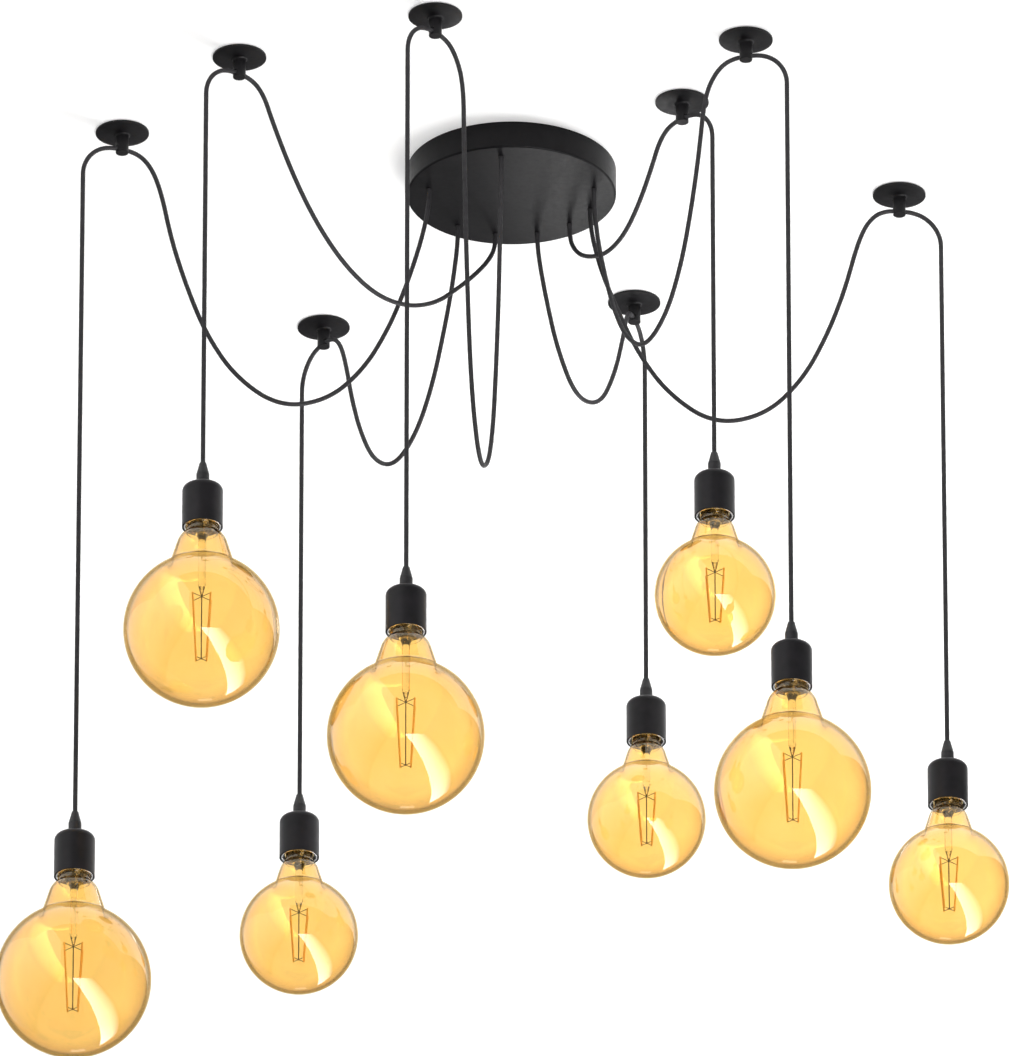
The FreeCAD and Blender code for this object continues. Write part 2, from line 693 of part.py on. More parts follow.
def bulb_core(kind, x, y, glass_top):
    """Glass stem and centre wire, with four light strips that lean in between two crosses."""
    stem_length = "sizes." + kind + "_glass_stem"
    reach = "sizes." + kind + "_glass_stem + sizes.stem_tip"
    wire_foot = "-(%s) - sizes.%s_strip" % (reach, kind)
    stem = lathe(
        "bulb_stem",
        [
            ("0", "0"),
            ("sizes." + kind + "_throat - sizes.glass_wall - sizes.stem_gap", "0"),
            ("sizes.stem_radius", "-sizes.stem_flare"),
            ("sizes.stem_radius", "-" + stem_length),
            ("sizes.support_radius", "-(" + reach + ")"),
            ("sizes.support_radius", wire_foot),
            ("0", wire_foot),
        ],
    )
    pieces = [place(stem, x, y, glass_top)]
    strip_top = glass_top - size(kind + "_glass_stem") - size("stem_tip")
    strip_foot = strip_top - size(kind + "_strip")
    inset = size("support_radius")
    for quarter in range(4):
        top_x, top_y = polar(size("strip_top_circle"), 45 + 90 * quarter)
        foot_x, foot_y = polar(size("strip_foot_circle"), 45 + 90 * quarter)
        ends = (x + top_x, y + top_y, strip_top), (x + foot_x, y + foot_y, strip_foot)
        pieces.append(rod("light_strip", "sizes.strip_radius", *ends))
        for out_x, out_y, z in (
            (top_x, top_y, strip_top - inset),
            (foot_x, foot_y, strip_foot + inset),
        ):
            pieces.append(
                rod("support_arm", "sizes.support_radius", (x, y, z), (x + out_x, y + out_y, z))
            )
    core = doc.addObject("Part::MultiFuse", "bulb_core")
    core.Shapes = pieces
    return core


for number, lamp in enumerate(LAMPS, 1):
    kind = lamp[0]
    hook_x = size("lamp_%d_hook_x" % number)
    hook_y = size("lamp_%d_hook_y" % number)
    out_x, out_y = polar(1.0, size("lamp_%d_hook_turn" % number))
    x = hook_x + out_x * drop_reach
    y = hook_y + out_y * drop_reach
    grip_top = -size("lamp_%d_drop" % number)
    cup_top = grip_top - size("grip_cone_height") - size("grip_nut_height")
    mouth = cup_top - size("cup_height")
    globe_centre = mouth - size(kind + "_mouth_height")

    # the weighted cord, straight, with a rounded top end where it flexes under the hook
    cord_bottom = grip_top + size("grip_gap")
    straight = doc.addObject("Part::Cylinder", "cord_run")
    straight.setExpression("Radius", "sizes.cord_radius")
    straight.Height = drop_top - cord_bottom
    place(straight, x, y, cord_bottom)
    dome = doc.addObject("Part::Sphere", "cord_end")
    dome.setExpression("Radius", "sizes.cord_radius")
    place(dome, x, y, drop_top)
    drop_cord = doc.addObject("Part::Fuse", "drop_cord_%d" % number)
    drop_cord.Label = "drop_cord_%d" % number
    drop_cord.Base = straight
    drop_cord.Tool = dome
    drop_cord.Refine = True
    nodes.append(drop_cord)

    # cord grip: a cone on a round nut, with a threaded spigot into the cup that ends a
    # clearance above the lampholder
    ring_top = "sizes.holder_ring_inset + sizes.holder_ring_height"
    holder_top = ring_top + " + sizes.holder_height"
    spigot_end = holder_top + " + sizes.grip_thread_clearance - sizes.cup_height"
    grip = lathe(
        "cord_grip_%d" % number,
        [
            ("0", spigot_end),
            ("sizes.grip_thread_radius", spigot_end),
            ("sizes.grip_thread_radius", "0"),
            ("sizes.grip_radius", "0"),
            ("sizes.grip_radius", "sizes.grip_nut_height"),
            ("sizes.grip_tip_radius", "sizes.grip_nut_height + sizes.grip_cone_height"),
            ("0", "sizes.grip_nut_height + sizes.grip_cone_height"),
        ],
    )
    nodes.append(place(grip, x, y, cup_top))

    # socket cup: a drawn metal shell with a rounded shoulder, open at the mouth
    cup = lathe(
        "socket_cup_%d" % number,
        [
            ("sizes.grip_thread_radius + sizes.thread_gap", "sizes.cup_height"),
            ("sizes.grip_thread_radius + sizes.thread_gap", "sizes.cup_height - sizes.cup_wall"),
            ("sizes.cup_radius - sizes.cup_wall", "sizes.cup_height - sizes.cup_wall"),
            ("sizes.cup_radius - sizes.cup_wall", "0"),
            ("sizes.cup_radius", "0"),
            ("sizes.cup_radius", "sizes.cup_height"),
        ],
    )
    wall = size("cup_wall")
    round_edges(cup, "sizes.cup_shoulder", size("cup_radius"), size("cup_height"))
    round_edges(
        cup,
        "sizes.cup_shoulder - sizes.cup_wall",
        size("cup_radius") - wall,
        size("cup_height") - wall,
    )
    nodes.append(place(cup, x, y, mouth))

    # lampholder: an insulating sleeve round the bulb's cap, with a bright ring below whose
    # bore has a row of notches
    sleeve_radius = "sizes.cup_radius - sizes.cup_wall - sizes.holder_gap"
    cap_room = "sizes.cap_radius + sizes.holder_gap"
    holder = lathe(
        "lampholder_%d" % number,
        [
            ("0", holder_top),
            ("0", holder_top + " - sizes.holder_wall"),
            (cap_room, holder_top + " - sizes.holder_wall"),
            (cap_room, ring_top + " + sizes.holder_gap"),
            ("sizes.holder_ring_bore", ring_top + " + sizes.holder_gap"),
            ("sizes.holder_ring_bore", "sizes.holder_ring_inset"),
            (sleeve_radius, "sizes.holder_ring_inset"),
            (sleeve_radius, ring_top + " + 2 * sizes.holder_gap"),
            (cap_room + " + sizes.holder_wall", ring_top + " + 2 * sizes.holder_gap"),
            (cap_room + " + sizes.holder_wall", holder_top),
        ],
    )
    notches = new_sketch(holder, "notches", "XY_Plane", "sizes.holder_ring_inset")
    notch_count = int(size("holder_notches"))
    for notch in range(notch_count):
        angle = "%d * 360 deg / sizes.holder_notches" % notch
        draw_circle(
            notches,
            "sizes.holder_ring_bore * cos(%s)" % angle,
            "sizes.holder_ring_bore * sin(%s)" % angle,
            "sizes.holder_notch_radius",
        )
    cut_in(holder, notches, "sizes.holder_ring_height")
    nodes.append(place(holder, x, y, mouth))

    # bulb: glass envelope, screw cap and the core inside
    glass = glass_envelope(kind)
    place(glass, x, y, globe_centre)
    cap = lathe(
        "bulb_cap",
        [
            ("0", "0"),
            ("sizes.cap_radius", "0"),
            ("sizes.cap_radius", "sizes.cap_height"),
            ("sizes.cap_tip_radius", "sizes.cap_height + sizes.cap_tip_height"),
            ("0", "sizes.cap_height + sizes.cap_tip_height"),
        ],
    )
    glass_top = mouth + size("holder_ring_inset") + size("holder_ring_height")
    place(cap, x, y, glass_top)
    nodes.append(group("bulb_%d" % number, [glass, cap, bulb_core(kind, x, y, glass_top)]))

doc.recompute()

# ---- check and export ---------------------------------------------------------------
for item in doc.Objects:
    if "Invalid" in item.State or "Error" in item.State:
        raise RuntimeError("%s failed: %s" % (item.Label, item.State))
os.makedirs("parts", exist_ok=True)
for node in nodes:
    shape = node.Shape
    if shape.isNull() or not shape.isValid() or not shape.Solids:
        raise RuntimeError(node.Label + " has no valid solid")
    shape.exportStep("parts/%s.step" % node.Label)
    print("%s: %d solids, %.0f mm3" % (node.Label, len(shape.Solids), shape.Volume))
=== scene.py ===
import math

import bmesh
import bpy
from mathutils import Matrix, Vector


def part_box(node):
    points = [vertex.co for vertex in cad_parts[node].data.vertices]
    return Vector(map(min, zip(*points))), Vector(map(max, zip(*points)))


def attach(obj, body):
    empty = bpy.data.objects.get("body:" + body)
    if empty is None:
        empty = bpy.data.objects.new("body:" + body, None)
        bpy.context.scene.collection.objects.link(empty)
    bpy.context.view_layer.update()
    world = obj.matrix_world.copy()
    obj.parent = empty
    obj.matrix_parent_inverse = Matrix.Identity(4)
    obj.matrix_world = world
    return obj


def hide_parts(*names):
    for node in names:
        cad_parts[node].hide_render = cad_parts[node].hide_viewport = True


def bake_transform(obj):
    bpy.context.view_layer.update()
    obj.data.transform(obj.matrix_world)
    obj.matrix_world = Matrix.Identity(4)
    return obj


# Cluster pendant: a black ceiling canopy, eight cords that swag to eight ceiling hooks and
# drop to eight lamps with amber globe bulbs. Metres, +Z up, origin in the ceiling plane.
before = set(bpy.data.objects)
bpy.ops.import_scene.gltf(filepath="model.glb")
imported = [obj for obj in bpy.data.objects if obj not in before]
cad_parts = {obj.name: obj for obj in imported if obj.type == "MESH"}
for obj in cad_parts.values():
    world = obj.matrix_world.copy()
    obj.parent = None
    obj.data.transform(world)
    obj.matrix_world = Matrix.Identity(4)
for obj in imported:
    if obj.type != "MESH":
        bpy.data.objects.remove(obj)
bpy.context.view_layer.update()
LAMPS = range(1, 9)

# ---- camera ---------------------------------------------------------------------------
# The photograph shows the canopy and hooks nearly parallel, from 27 degrees below and with
# upright verticals, so the lens is long and far off. The picture is 1056 pixels high at
# 0.96 pixels per mm.
VIEW_RISE = math.radians(27)
PICTURE_HEIGHT = 1056
PIXELS_PER_METRE = 960.0
LENS = 0.6
SENSOR = 0.036
FARTHEST = 300.0
AIM = Vector((-0.0048, 0.0, -0.4218))

camera_data = bpy.data.cameras.new("camera")
camera_data.lens = LENS * 1000
camera_data.sensor_width = SENSOR * 1000
camera_data.clip_end = FARTHEST
camera = bpy.data.objects.new("camera", camera_data)
bpy.context.scene.collection.objects.link(camera)
distance = LENS / SENSOR * PICTURE_HEIGHT / PIXELS_PER_METRE
sight = Vector((0, math.cos(VIEW_RISE), math.sin(VIEW_RISE)))
camera.location = AIM - sight * distance
camera.rotation_euler = (math.pi / 2 + VIEW_RISE, 0, 0)
bpy.context.scene.camera = camera

# ---- cords ----------------------------------------------------------------------------
# Eight lengths of round PVC-sheathed flex, 4.8 mm thick, extruded matt black. Each leaves
# the canopy straight down, hangs slack to its hook, bends over inside the hook's eye and
# falls taut to the lamp, where it ends inside the cord grip.
CORD_RADIUS = 0.0024
CORD_CIRCLE = 0.088
EXIT_HEIGHT = -0.0285
GRIP_BORE_REACH = 0.0015
SWAGS = [
    [(0, -0.045), (0.004, -0.072), (0.012, -0.106), (0.025, -0.150), (0.043, -0.200),
     (0.069, -0.250), (0.107, -0.290), (0.158, -0.303), (0.205, -0.272), (0.236, -0.225),
     (0.257, -0.172), (0.274, -0.117)],
    [(0, -0.042), (0.009, -0.062), (0.033, -0.090), (0.066, -0.122), (0.106, -0.157),
     (0.157, -0.182), (0.212, -0.190), (0.266, -0.176), (0.314, -0.146), (0.353, -0.107)],
    [(0, -0.044), (0.005, -0.068), (0.016, -0.101), (0.035, -0.142), (0.061, -0.190),
     (0.101, -0.231), (0.154, -0.244), (0.203, -0.215), (0.236, -0.167), (0.259, -0.115)],
    [(0, -0.046), (0.002, -0.074), (0.006, -0.112), (0.011, -0.158), (0.017, -0.212),
     (0.026, -0.268), (0.037, -0.325), (0.052, -0.383), (0.079, -0.434), (0.124, -0.456),
     (0.163, -0.414), (0.184, -0.357), (0.196, -0.298), (0.206, -0.239), (0.213, -0.180),
     (0.219, -0.121)],
    [(0, -0.043), (0.006, -0.066), (0.019, -0.098), (0.043, -0.146), (0.085, -0.187),
     (0.138, -0.172), (0.172, -0.119)],
    [(0, -0.042), (0.007, -0.060), (0.027, -0.080), (0.058, -0.097), (0.096, -0.110),
     (0.137, -0.108), (0.172, -0.090)],
    [(0, -0.045), (0.004, -0.071), (0.013, -0.106), (0.029, -0.149), (0.052, -0.200),
     (0.084, -0.248), (0.131, -0.281), (0.186, -0.268), (0.225, -0.226), (0.251, -0.173),
     (0.271, -0.118)],
    [(0, -0.045), (0.004, -0.072), (0.013, -0.107), (0.029, -0.150), (0.050, -0.199),
     (0.081, -0.246), (0.129, -0.281), (0.183, -0.269), (0.222, -0.227), (0.248, -0.175),
     (0.268, -0.119)],
]
HOOK_BEND = [(-0.045, -0.062), (-0.033, -0.034), (-0.016, -0.0205), (0.016, -0.0205),
             (0.034, -0.031), (0.044, -0.049), (0.044, -0.070)]
EXIT_ANGLES = [190, 101, 130, 263, 72, 46, 350, 20]
HOOK_TURNS = [204, 220, 122, 230, 75, 315, 343, 8]
DROP_START = -0.100
NOISE_LOW = 0.3
NOISE_HIGH = 0.7


def linear(code):
    """An sRGB hex colour as linear red, green and blue, with full alpha."""
    parts = [int(code[i:i + 2], 16) / 255 for i in (1, 3, 5)]
    return [c / 12.92 if c <= 0.04045 else ((c + 0.055) / 1.055) ** 2.4 for c in parts] + [1.0]


def add(tree, kind, inputs=(), **settings):
    """Adds a node. inputs gives each socket, by name or number, a value or another output."""
    node = tree.nodes.new(kind)
    for name, value in settings.items():
        setattr(node, name, value)
    for socket, value in dict(inputs).items():
        if isinstance(value, bpy.types.NodeSocket):
            tree.links.new(value, node.inputs[socket])
        else:
            node.inputs[socket].default_value = value
    return node


def finish_named(name):
    """A new empty material, its node tree and its Principled shader."""
    material = bpy.data.materials.new(name)
    material.use_nodes = True
    tree = material.node_tree
    tree.nodes.clear()
    shader = add(tree, "ShaderNodeBsdfPrincipled")
    output = add(tree, "ShaderNodeOutputMaterial", {"Surface": shader.outputs[0]})
    output.is_active_output = True
    return material, tree, shader


def grain(tree, size, detail=2.0, stretch=(1, 1, 1)):
    """Noise whose largest blotches are about size metres across, stretched along an axis."""
    place = add(tree, "ShaderNodeTexCoord").outputs["Object"]
    mapping = add(tree, "ShaderNodeMapping", {"Vector": place, "Scale": stretch})
    noise = add(
        tree,
        "ShaderNodeTexNoise",
        {"Vector": mapping.outputs[0], "Scale": 1 / size, "Detail": detail, "Roughness": 0.6},
    )
    return noise.outputs["Fac"]


def spread(tree, value, low, high):
    """Turns a noise value, which mostly lies between its two limits, into low to high."""
    return add(
        tree,
        "ShaderNodeMapRange",
        {
            "Value": value,
            "From Min": NOISE_LOW,
            "From Max": NOISE_HIGH,
            "To Min": low,
            "To Max": high,
        },
    ).outputs[0]


def tint(tree, value, low, high):
    """A colour from low to high as a noise value goes between its two limits."""
    share = spread(tree, value, 0.0, 1.0)
    mix = add(tree, "ShaderNodeMix", {0: share, 6: linear(low), 7: linear(high)}, data_type="RGBA")
    return mix.outputs[2]


def bump(tree, value, depth):
    """A normal from a noise value, raised by up to a depth in metres."""
    return add(
        tree, "ShaderNodeBump", {"Height": value, "Distance": depth, "Strength": 1.0}
    ).outputs[0]


def surface(name, tones, gloss, relief, **sockets):
    """A finish of three noises: tones between two colours, gloss between two roughnesses, and
    relief of one depth, each followed by its grain. sockets sets more of the shader's inputs,
    with an underscore for each blank in their names."""
    finish, tree, shader = finish_named(name)
    (dark, light, *tone_grain), (low, high, *gloss_grain), (depth, *relief_grain) = (
        tones, gloss, relief
    )
    for socket, value in (
        ("Base Color", tint(tree, grain(tree, *tone_grain), dark, light)),
        ("Roughness", spread(tree, grain(tree, *gloss_grain), low, high)),
        ("Normal", bump(tree, grain(tree, *relief_grain), depth)),
    ):
        tree.links.new(value, shader.inputs[socket])
    for socket, value in sockets.items():
        shader.inputs[socket.replace("_", " ")].default_value = value
    return finish


# Matt PVC sheath as extruded: soft even black, faint changes of shade, a dull bloom, and a
# fine skin drawn at 0.8 mm, coarser than the real one so that it shows.
cord_finish = surface(
    "matt_pvc_sheath",
    ("#343335", "#3E3D3F", 0.006),
    (0.52, 0.68, 0.003),
    (0.00006, 0.0008, 3.0),
    Specular_IOR_Level=0.15,
)


def cord_line(points, thickness=0.0):
    """The smooth line through a cord's route, or the cord itself when it has a thickness."""
    curve = bpy.data.curves.new("route", "CURVE")
    curve.dimensions = "3D"
    curve.bevel_depth = thickness
    curve.bevel_resolution = 5
    curve.use_fill_caps = True
    spline = curve.splines.new("NURBS")
    spline.points.add(len(points) - 1)
    for point, place in zip(spline.points, points):
        point.co = (*place, 1.0)
    spline.order_u = 3
    spline.use_endpoint_u = True
    spline.resolution_u = 14
    holder = bpy.data.objects.new("route", curve)
    bpy.context.scene.collection.objects.link(holder)
    bpy.context.view_layer.update()
    evaluated = holder.evaluated_get(bpy.context.evaluated_depsgraph_get())
    mesh = bpy.data.meshes.new_from_object(evaluated)
    bpy.data.objects.remove(holder)
    bpy.data.curves.remove(curve)
    return mesh


def new_piece(name, mesh, finish=None):
    """An object of a mesh at the origin, in a finish where one is given."""
    piece = bpy.data.objects.new(name, mesh)
    bpy.context.scene.collection.objects.link(piece)
    if finish is not None:
        mesh.materials.clear()
        mesh.materials.append(finish)
    return piece


def middle(node):
    """The upright axis of a node, as its middle in plan, and its lowest and highest level."""
    low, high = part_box(node)
    return (low[0] + high[0]) / 2, (low[1] + high[1]) / 2, low[2], high[2]


for number, swag, exit_angle, turn in zip(LAMPS, SWAGS, EXIT_ANGLES, HOOK_TURNS):
    lamp_x, lamp_y, drop_foot = middle("drop_cord_%d" % number)[:3]
    out = Vector((math.cos(math.radians(turn)), math.sin(math.radians(turn))))
    hook = Vector((lamp_x, lamp_y)) - out * HOOK_BEND[-1][0]
    start = Vector((math.cos(math.radians(exit_angle)), math.sin(math.radians(exit_angle))))
    start *= CORD_CIRCLE
    along = (hook + out * HOOK_BEND[0][0] - start).normalized()
    route = [(start.x, start.y, EXIT_HEIGHT)]
    route += [(*(start + along * t), z) for t, z in swag]
    route += [(*(hook + out * t), z) for t, z in HOOK_BEND]
    # the drop is one long straight stretch, with a point below the hook's bend
    grip_top = drop_foot - GRIP_BORE_REACH
    route += [(lamp_x, lamp_y, z) for z in (DROP_START, (grip_top + DROP_START) / 2, grip_top)]
    line = cord_line(route)
    cord = new_piece("pendant_flex_%d" % number, cord_line(route, CORD_RADIUS), cord_finish)
    cord.data.shade_smooth()
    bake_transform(cord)
    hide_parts("swag_cord_%d" % number, "drop_cord_%d" % number)

# ---- canopy ---------------------------------------------------------------------------
# A pan spun from 1.5 mm sheet steel, 220 mm across and 30 mm deep, powder coated satin
# black. Its floor has a punched hole for each cord, and its wall a hole at each end of the
# ceiling bracket for the grub screw that holds it.
CANOPY_RADIUS = 0.110
CANOPY_HEIGHT = 0.030
CANOPY_WALL = 0.0015
CANOPY_EDGE = 0.002
CORD_HOLE = 0.0030
SCREW_HOLE = 0.0022
SCREW_DROP = 0.009
EDGE = 0.0003
CREASE = math.radians(38)
AXIS_RADIUS = 1e-7
ROUNDING_SHARE = 0.48
SUPPORT = 1.04


def rounded(corners, steps=6):
    """Points of a closed outline whose (radius, height, rounding) corners are rounded off.
    A support point beyond each end of a rounding keeps the flat faces shading flat."""
    points = []
    for index, corner in enumerate(corners):
        here = Vector(corner[:2])
        if len(corner) < 3:
            points.append(here)
            continue
        back = Vector(corners[index - 1][:2]) - here
        ahead = Vector(corners[(index + 1) % len(corners)][:2]) - here
        half = back.angle(ahead) / 2
        room = ROUNDING_SHARE * min(back.length, ahead.length)
        reach = min(corner[2] / math.tan(half), room)
        radius = reach * math.tan(half)
        back.normalize()
        ahead.normalize()
        centre = here + (back + ahead).normalized() * radius / math.sin(half)
        first = (here + back * reach - centre).normalized()
        last = (here + ahead * reach - centre).normalized()
        points.append(here + back * reach * SUPPORT)
        points += [centre + first.slerp(last, i / steps) * radius for i in range(steps + 1)]
        points.append(here + ahead * reach * SUPPORT)
    return points


def lathe(outline, steps=96):
    """A mesh of a closed outline of (radius, height) points spun round an upright axis."""
    turns = [2 * math.pi * i / steps for i in range(steps)]
    shape = bmesh.new()
    rings = []
    for radius, height in outline:
        if radius < AXIS_RADIUS:
            rings.append([shape.verts.new((0, 0, height))] * steps)
        else:
            ring = [(radius * math.cos(a), radius * math.sin(a), height) for a in turns]
            rings.append([shape.verts.new(place) for place in ring])
    for ring, following in zip(rings, rings[1:] + rings[:1]):
        for i in range(steps):
            corners = list(dict.fromkeys((ring[i - 1], ring[i], following[i], following[i - 1])))
            if len(corners) > 2:
                shape.faces.new(corners)
    bmesh.ops.recalc_face_normals(shape, faces=shape.faces)
    mesh = bpy.data.meshes.new("turned")
    shape.to_mesh(mesh)
    shape.free()
    mesh.shade_smooth()
    mesh.set_sharp_from_angle(angle=CREASE)
    return mesh


def moved(mesh, x, y, z):
    """A copy of a mesh, moved."""
    copy = mesh.copy()
    copy.transform(Matrix.Translation((x, y, z)))
    return copy


def points_mesh(places, turns=()):
    """A mesh of loose points, with a turn about the upright axis kept on each."""
    mesh = bpy.data.meshes.new("points")
    mesh.from_pydata(places, [], [])
    for value, turn in zip(mesh.attributes.new("turn", "FLOAT", "POINT").data, turns):
        value.value = turn
    return mesh


def growth(name, **inputs):
    """A Geometry Nodes tree with a geometry input and these named inputs, and its inputs."""
    tree = bpy.data.node_groups.new(name, "GeometryNodeTree")
    tree.interface.new_socket("Geometry", in_out="OUTPUT", socket_type="NodeSocketGeometry")
    tree.interface.new_socket("Geometry", in_out="INPUT", socket_type="NodeSocketGeometry")
    for label, kind in inputs.items():
        tree.interface.new_socket(label, in_out="INPUT", socket_type="NodeSocket" + kind)
    return tree, add(tree, "NodeGroupInput").outputs


def end_growth(tree, geometry, finish):
    """Ends a tree with real geometry in one material."""
    whole = add(tree, "GeometryNodeRealizeInstances", {0: geometry})
    painted = add(tree, "GeometryNodeSetMaterial", {0: whole.outputs[0], "Material": finish})
    add(tree, "NodeGroupOutput", {0: painted.outputs[0]})


def cut(tree, mesh, cutters):
    """A mesh with the cutters taken out of it. The exact solver keeps thin rims whole."""
    return add(
        tree,
        "GeometryNodeMeshBoolean",
        {"Mesh 1": mesh, "Mesh 2": cutters},
        operation="DIFFERENCE",
        solver="EXACT",
    ).outputs["Mesh"]


def grow(tree, mesh, **sizes):
    """The plain mesh that a tree makes of a mesh, with its named inputs set."""
    holder = bpy.data.objects.new("holder", mesh)
    bpy.context.scene.collection.objects.link(holder)
    modifier = holder.modifiers.new("growth", "NODES")
    modifier.node_group = tree
    for item in tree.interface.items_tree:
        if item.name in sizes:
            modifier[item.identifier] = sizes[item.name]
    bpy.context.view_layer.update()
    evaluated = holder.evaluated_get(bpy.context.evaluated_depsgraph_get())
    result = bpy.data.meshes.new_from_object(evaluated)
    holder.modifiers.clear()
    bpy.data.objects.remove(holder)
    result.shade_smooth()
    result.set_sharp_from_angle(angle=CREASE)
    return result


def settle(piece, body, slot, *nodes):
    """The piece rides a body and stands for CAD nodes. The slot is not used."""
    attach(piece, body)
    if nodes:
        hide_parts(*nodes)


def powder_coat(name, dark, light, gloss_low, gloss_high, shine):
    """Polyester powder on steel, sprayed and baked: large faint clouds of tone, a gloss made
    uneven by handling, and a fine orange peel about 1.5 mm across."""
    return surface(
        name,
        (dark, light, 0.018),
        (gloss_low, gloss_high, 0.006, 3.0),
        (0.00003, 0.0015, 3.0),
        Specular_IOR_Level=shine,
    )


# Satin black powder coat on the spun pan, the darkest and most even of the black finishes.
canopy_finish = powder_coat("satin_black_powder_coat", "#0D0C0E", "#131214", 0.34, 0.42, 0.12)

# cylinders on the exit points and one along the bracket are taken out of the spun pan
tree, given = growth("punch_canopy", hole_radius="Float", screw_radius="Float", pan="Object")
cutter = add(tree, "GeometryNodeMeshCylinder", {"Vertices": 48, "Depth": 2 * CANOPY_HEIGHT})
tree.links.new(given["hole_radius"], cutter.inputs["Radius"])
punches = add(
    tree,
    "GeometryNodeInstanceOnPoints",
    {"Points": given["Geometry"], "Instance": cutter.outputs["Mesh"]},
)
drill = add(
    tree,
    "GeometryNodeMeshCylinder",
    {"Vertices": 48, "Radius": given["screw_radius"], "Depth": 2.2 * CANOPY_RADIUS},
)
drilled = add(
    tree,
    "GeometryNodeTransform",
    {
        "Geometry": drill.outputs["Mesh"],
        "Translation": (0, 0, -SCREW_DROP),
        "Rotation": (0, math.pi / 2, 0),
    },
)
cutters = add(tree, "GeometryNodeJoinGeometry", {0: punches.outputs[0]})
tree.links.new(drilled.outputs[0], cutters.inputs[0])
solid_cutters = add(tree, "GeometryNodeRealizeInstances", {0: cutters.outputs[0]})
pan = add(tree, "GeometryNodeObjectInfo", {"Object": given["pan"]})
punched = cut(tree, pan.outputs["Geometry"], solid_cutters.outputs[0])
end_growth(tree, punched, canopy_finish)

pan_mesh = lathe(
    rounded(
        [
            (CANOPY_RADIUS, 0, EDGE),
            (CANOPY_RADIUS, -CANOPY_HEIGHT, CANOPY_EDGE),
            (0, -CANOPY_HEIGHT),
            (0, CANOPY_WALL - CANOPY_HEIGHT),
            (CANOPY_RADIUS - CANOPY_WALL, CANOPY_WALL - CANOPY_HEIGHT, CANOPY_EDGE / 4),
            (CANOPY_RADIUS - CANOPY_WALL, 0, EDGE),
        ]
    ),
    steps=192,
)
spun_pan = new_piece("spun_pan", pan_mesh)
exit_turns = [Matrix.Rotation(math.radians(angle), 3, "Z") for angle in EXIT_ANGLES]
exits = [turn @ Vector((CORD_CIRCLE, 0, -CANOPY_HEIGHT)) for turn in exit_turns]
canopy_mesh = grow(
    tree,
    points_mesh(exits),
    hole_radius=CORD_HOLE,
    screw_radius=SCREW_HOLE,
    pan=spun_pan,
)
bpy.data.objects.remove(spun_pan)
settle(new_piece("canopy_pan", canopy_mesh), "canopy_frame", "black_coat", "canopy_cup")

# ---- ceiling hooks --------------------------------------------------------------------
# Eight hooks turned from steel bar and powder coated like the canopy: a thin domed disc, 56
# mm across, that hides the hole in the ceiling, and a stem with a cross hole that the cord
# runs through. A hanger screw in the stem's tapped top holds each to the ceiling.
DISC_RADIUS = 0.028
DISC_EDGE = 0.0022
DISC_DOME = 0.0016
STEM_RADIUS = 0.0067
STEM_LENGTH = 0.025
STEM_BLEND = 0.0025
EYE_RADIUS = 0.0032
EYE_DROP = 0.0205
TAPPED_RADIUS = 0.00255
TAPPED_DEPTH = 0.012
DOME_STEPS = 8
dome_start = STEM_RADIUS + STEM_BLEND
dome_shares = [i / DOME_STEPS for i in range(1, DOME_STEPS)]
dome = [
    (dome_start + (DISC_RADIUS - dome_start) * t, -DISC_EDGE - DISC_DOME * (1 - t ** 2))
    for t in dome_shares
]
hook_mesh = lathe(
    rounded(
        [
            (0, -STEM_LENGTH),
            (STEM_RADIUS, -STEM_LENGTH, 0.0006),
            (STEM_RADIUS, -DISC_EDGE - DISC_DOME, STEM_BLEND),
            *dome,
            (DISC_RADIUS, -DISC_EDGE, EDGE),
            (DISC_RADIUS, 0, EDGE),
            (TAPPED_RADIUS, 0, EDGE),
            (TAPPED_RADIUS, -TAPPED_DEPTH),
            (0, -TAPPED_DEPTH),
        ]
    ),
    steps=64,
)
# Powder coat on turned steel: a little lighter and duller than the canopy's.
hook_finish = powder_coat("powder_coat_on_turned_hooks", "#111012", "#171618", 0.36, 0.48, 0.2)


def stand(tree, points, item):
    """An item on each point, turned about the upright axis by the turn kept there."""
    turn = add(tree, "GeometryNodeInputNamedAttribute", {"Name": "turn"}, data_type="FLOAT")
    upright = add(tree, "ShaderNodeCombineXYZ", {"Z": turn.outputs["Attribute"]})
    return add(
        tree,
        "GeometryNodeInstanceOnPoints",
        {"Points": points, "Instance": item, "Rotation": upright.outputs[0]},
    ).outputs[0]


# the drilled hook stands on each point, turned so that its hole faces its own lamp
tree, given = growth("hang_hooks", eye_radius="Float", eye_drop="Float", hook="Object")
bar = add(
    tree,
    "GeometryNodeMeshCylinder",
    {"Vertices": 48, "Radius": given["eye_radius"], "Depth": 4 * STEM_RADIUS},
)
eye_place = add(tree, "ShaderNodeCombineXYZ", {"Z": given["eye_drop"]})
eye = add(
    tree,
    "GeometryNodeTransform",
    {
        "Geometry": bar.outputs["Mesh"],
        "Translation": eye_place.outputs[0],
        "Rotation": (0, math.pi / 2, 0),
    },
)
blank = add(tree, "GeometryNodeObjectInfo", {"Object": given["hook"]})
drilled = cut(tree, blank.outputs["Geometry"], eye.outputs[0])
end_growth(tree, stand(tree, given["Geometry"], drilled), hook_finish)

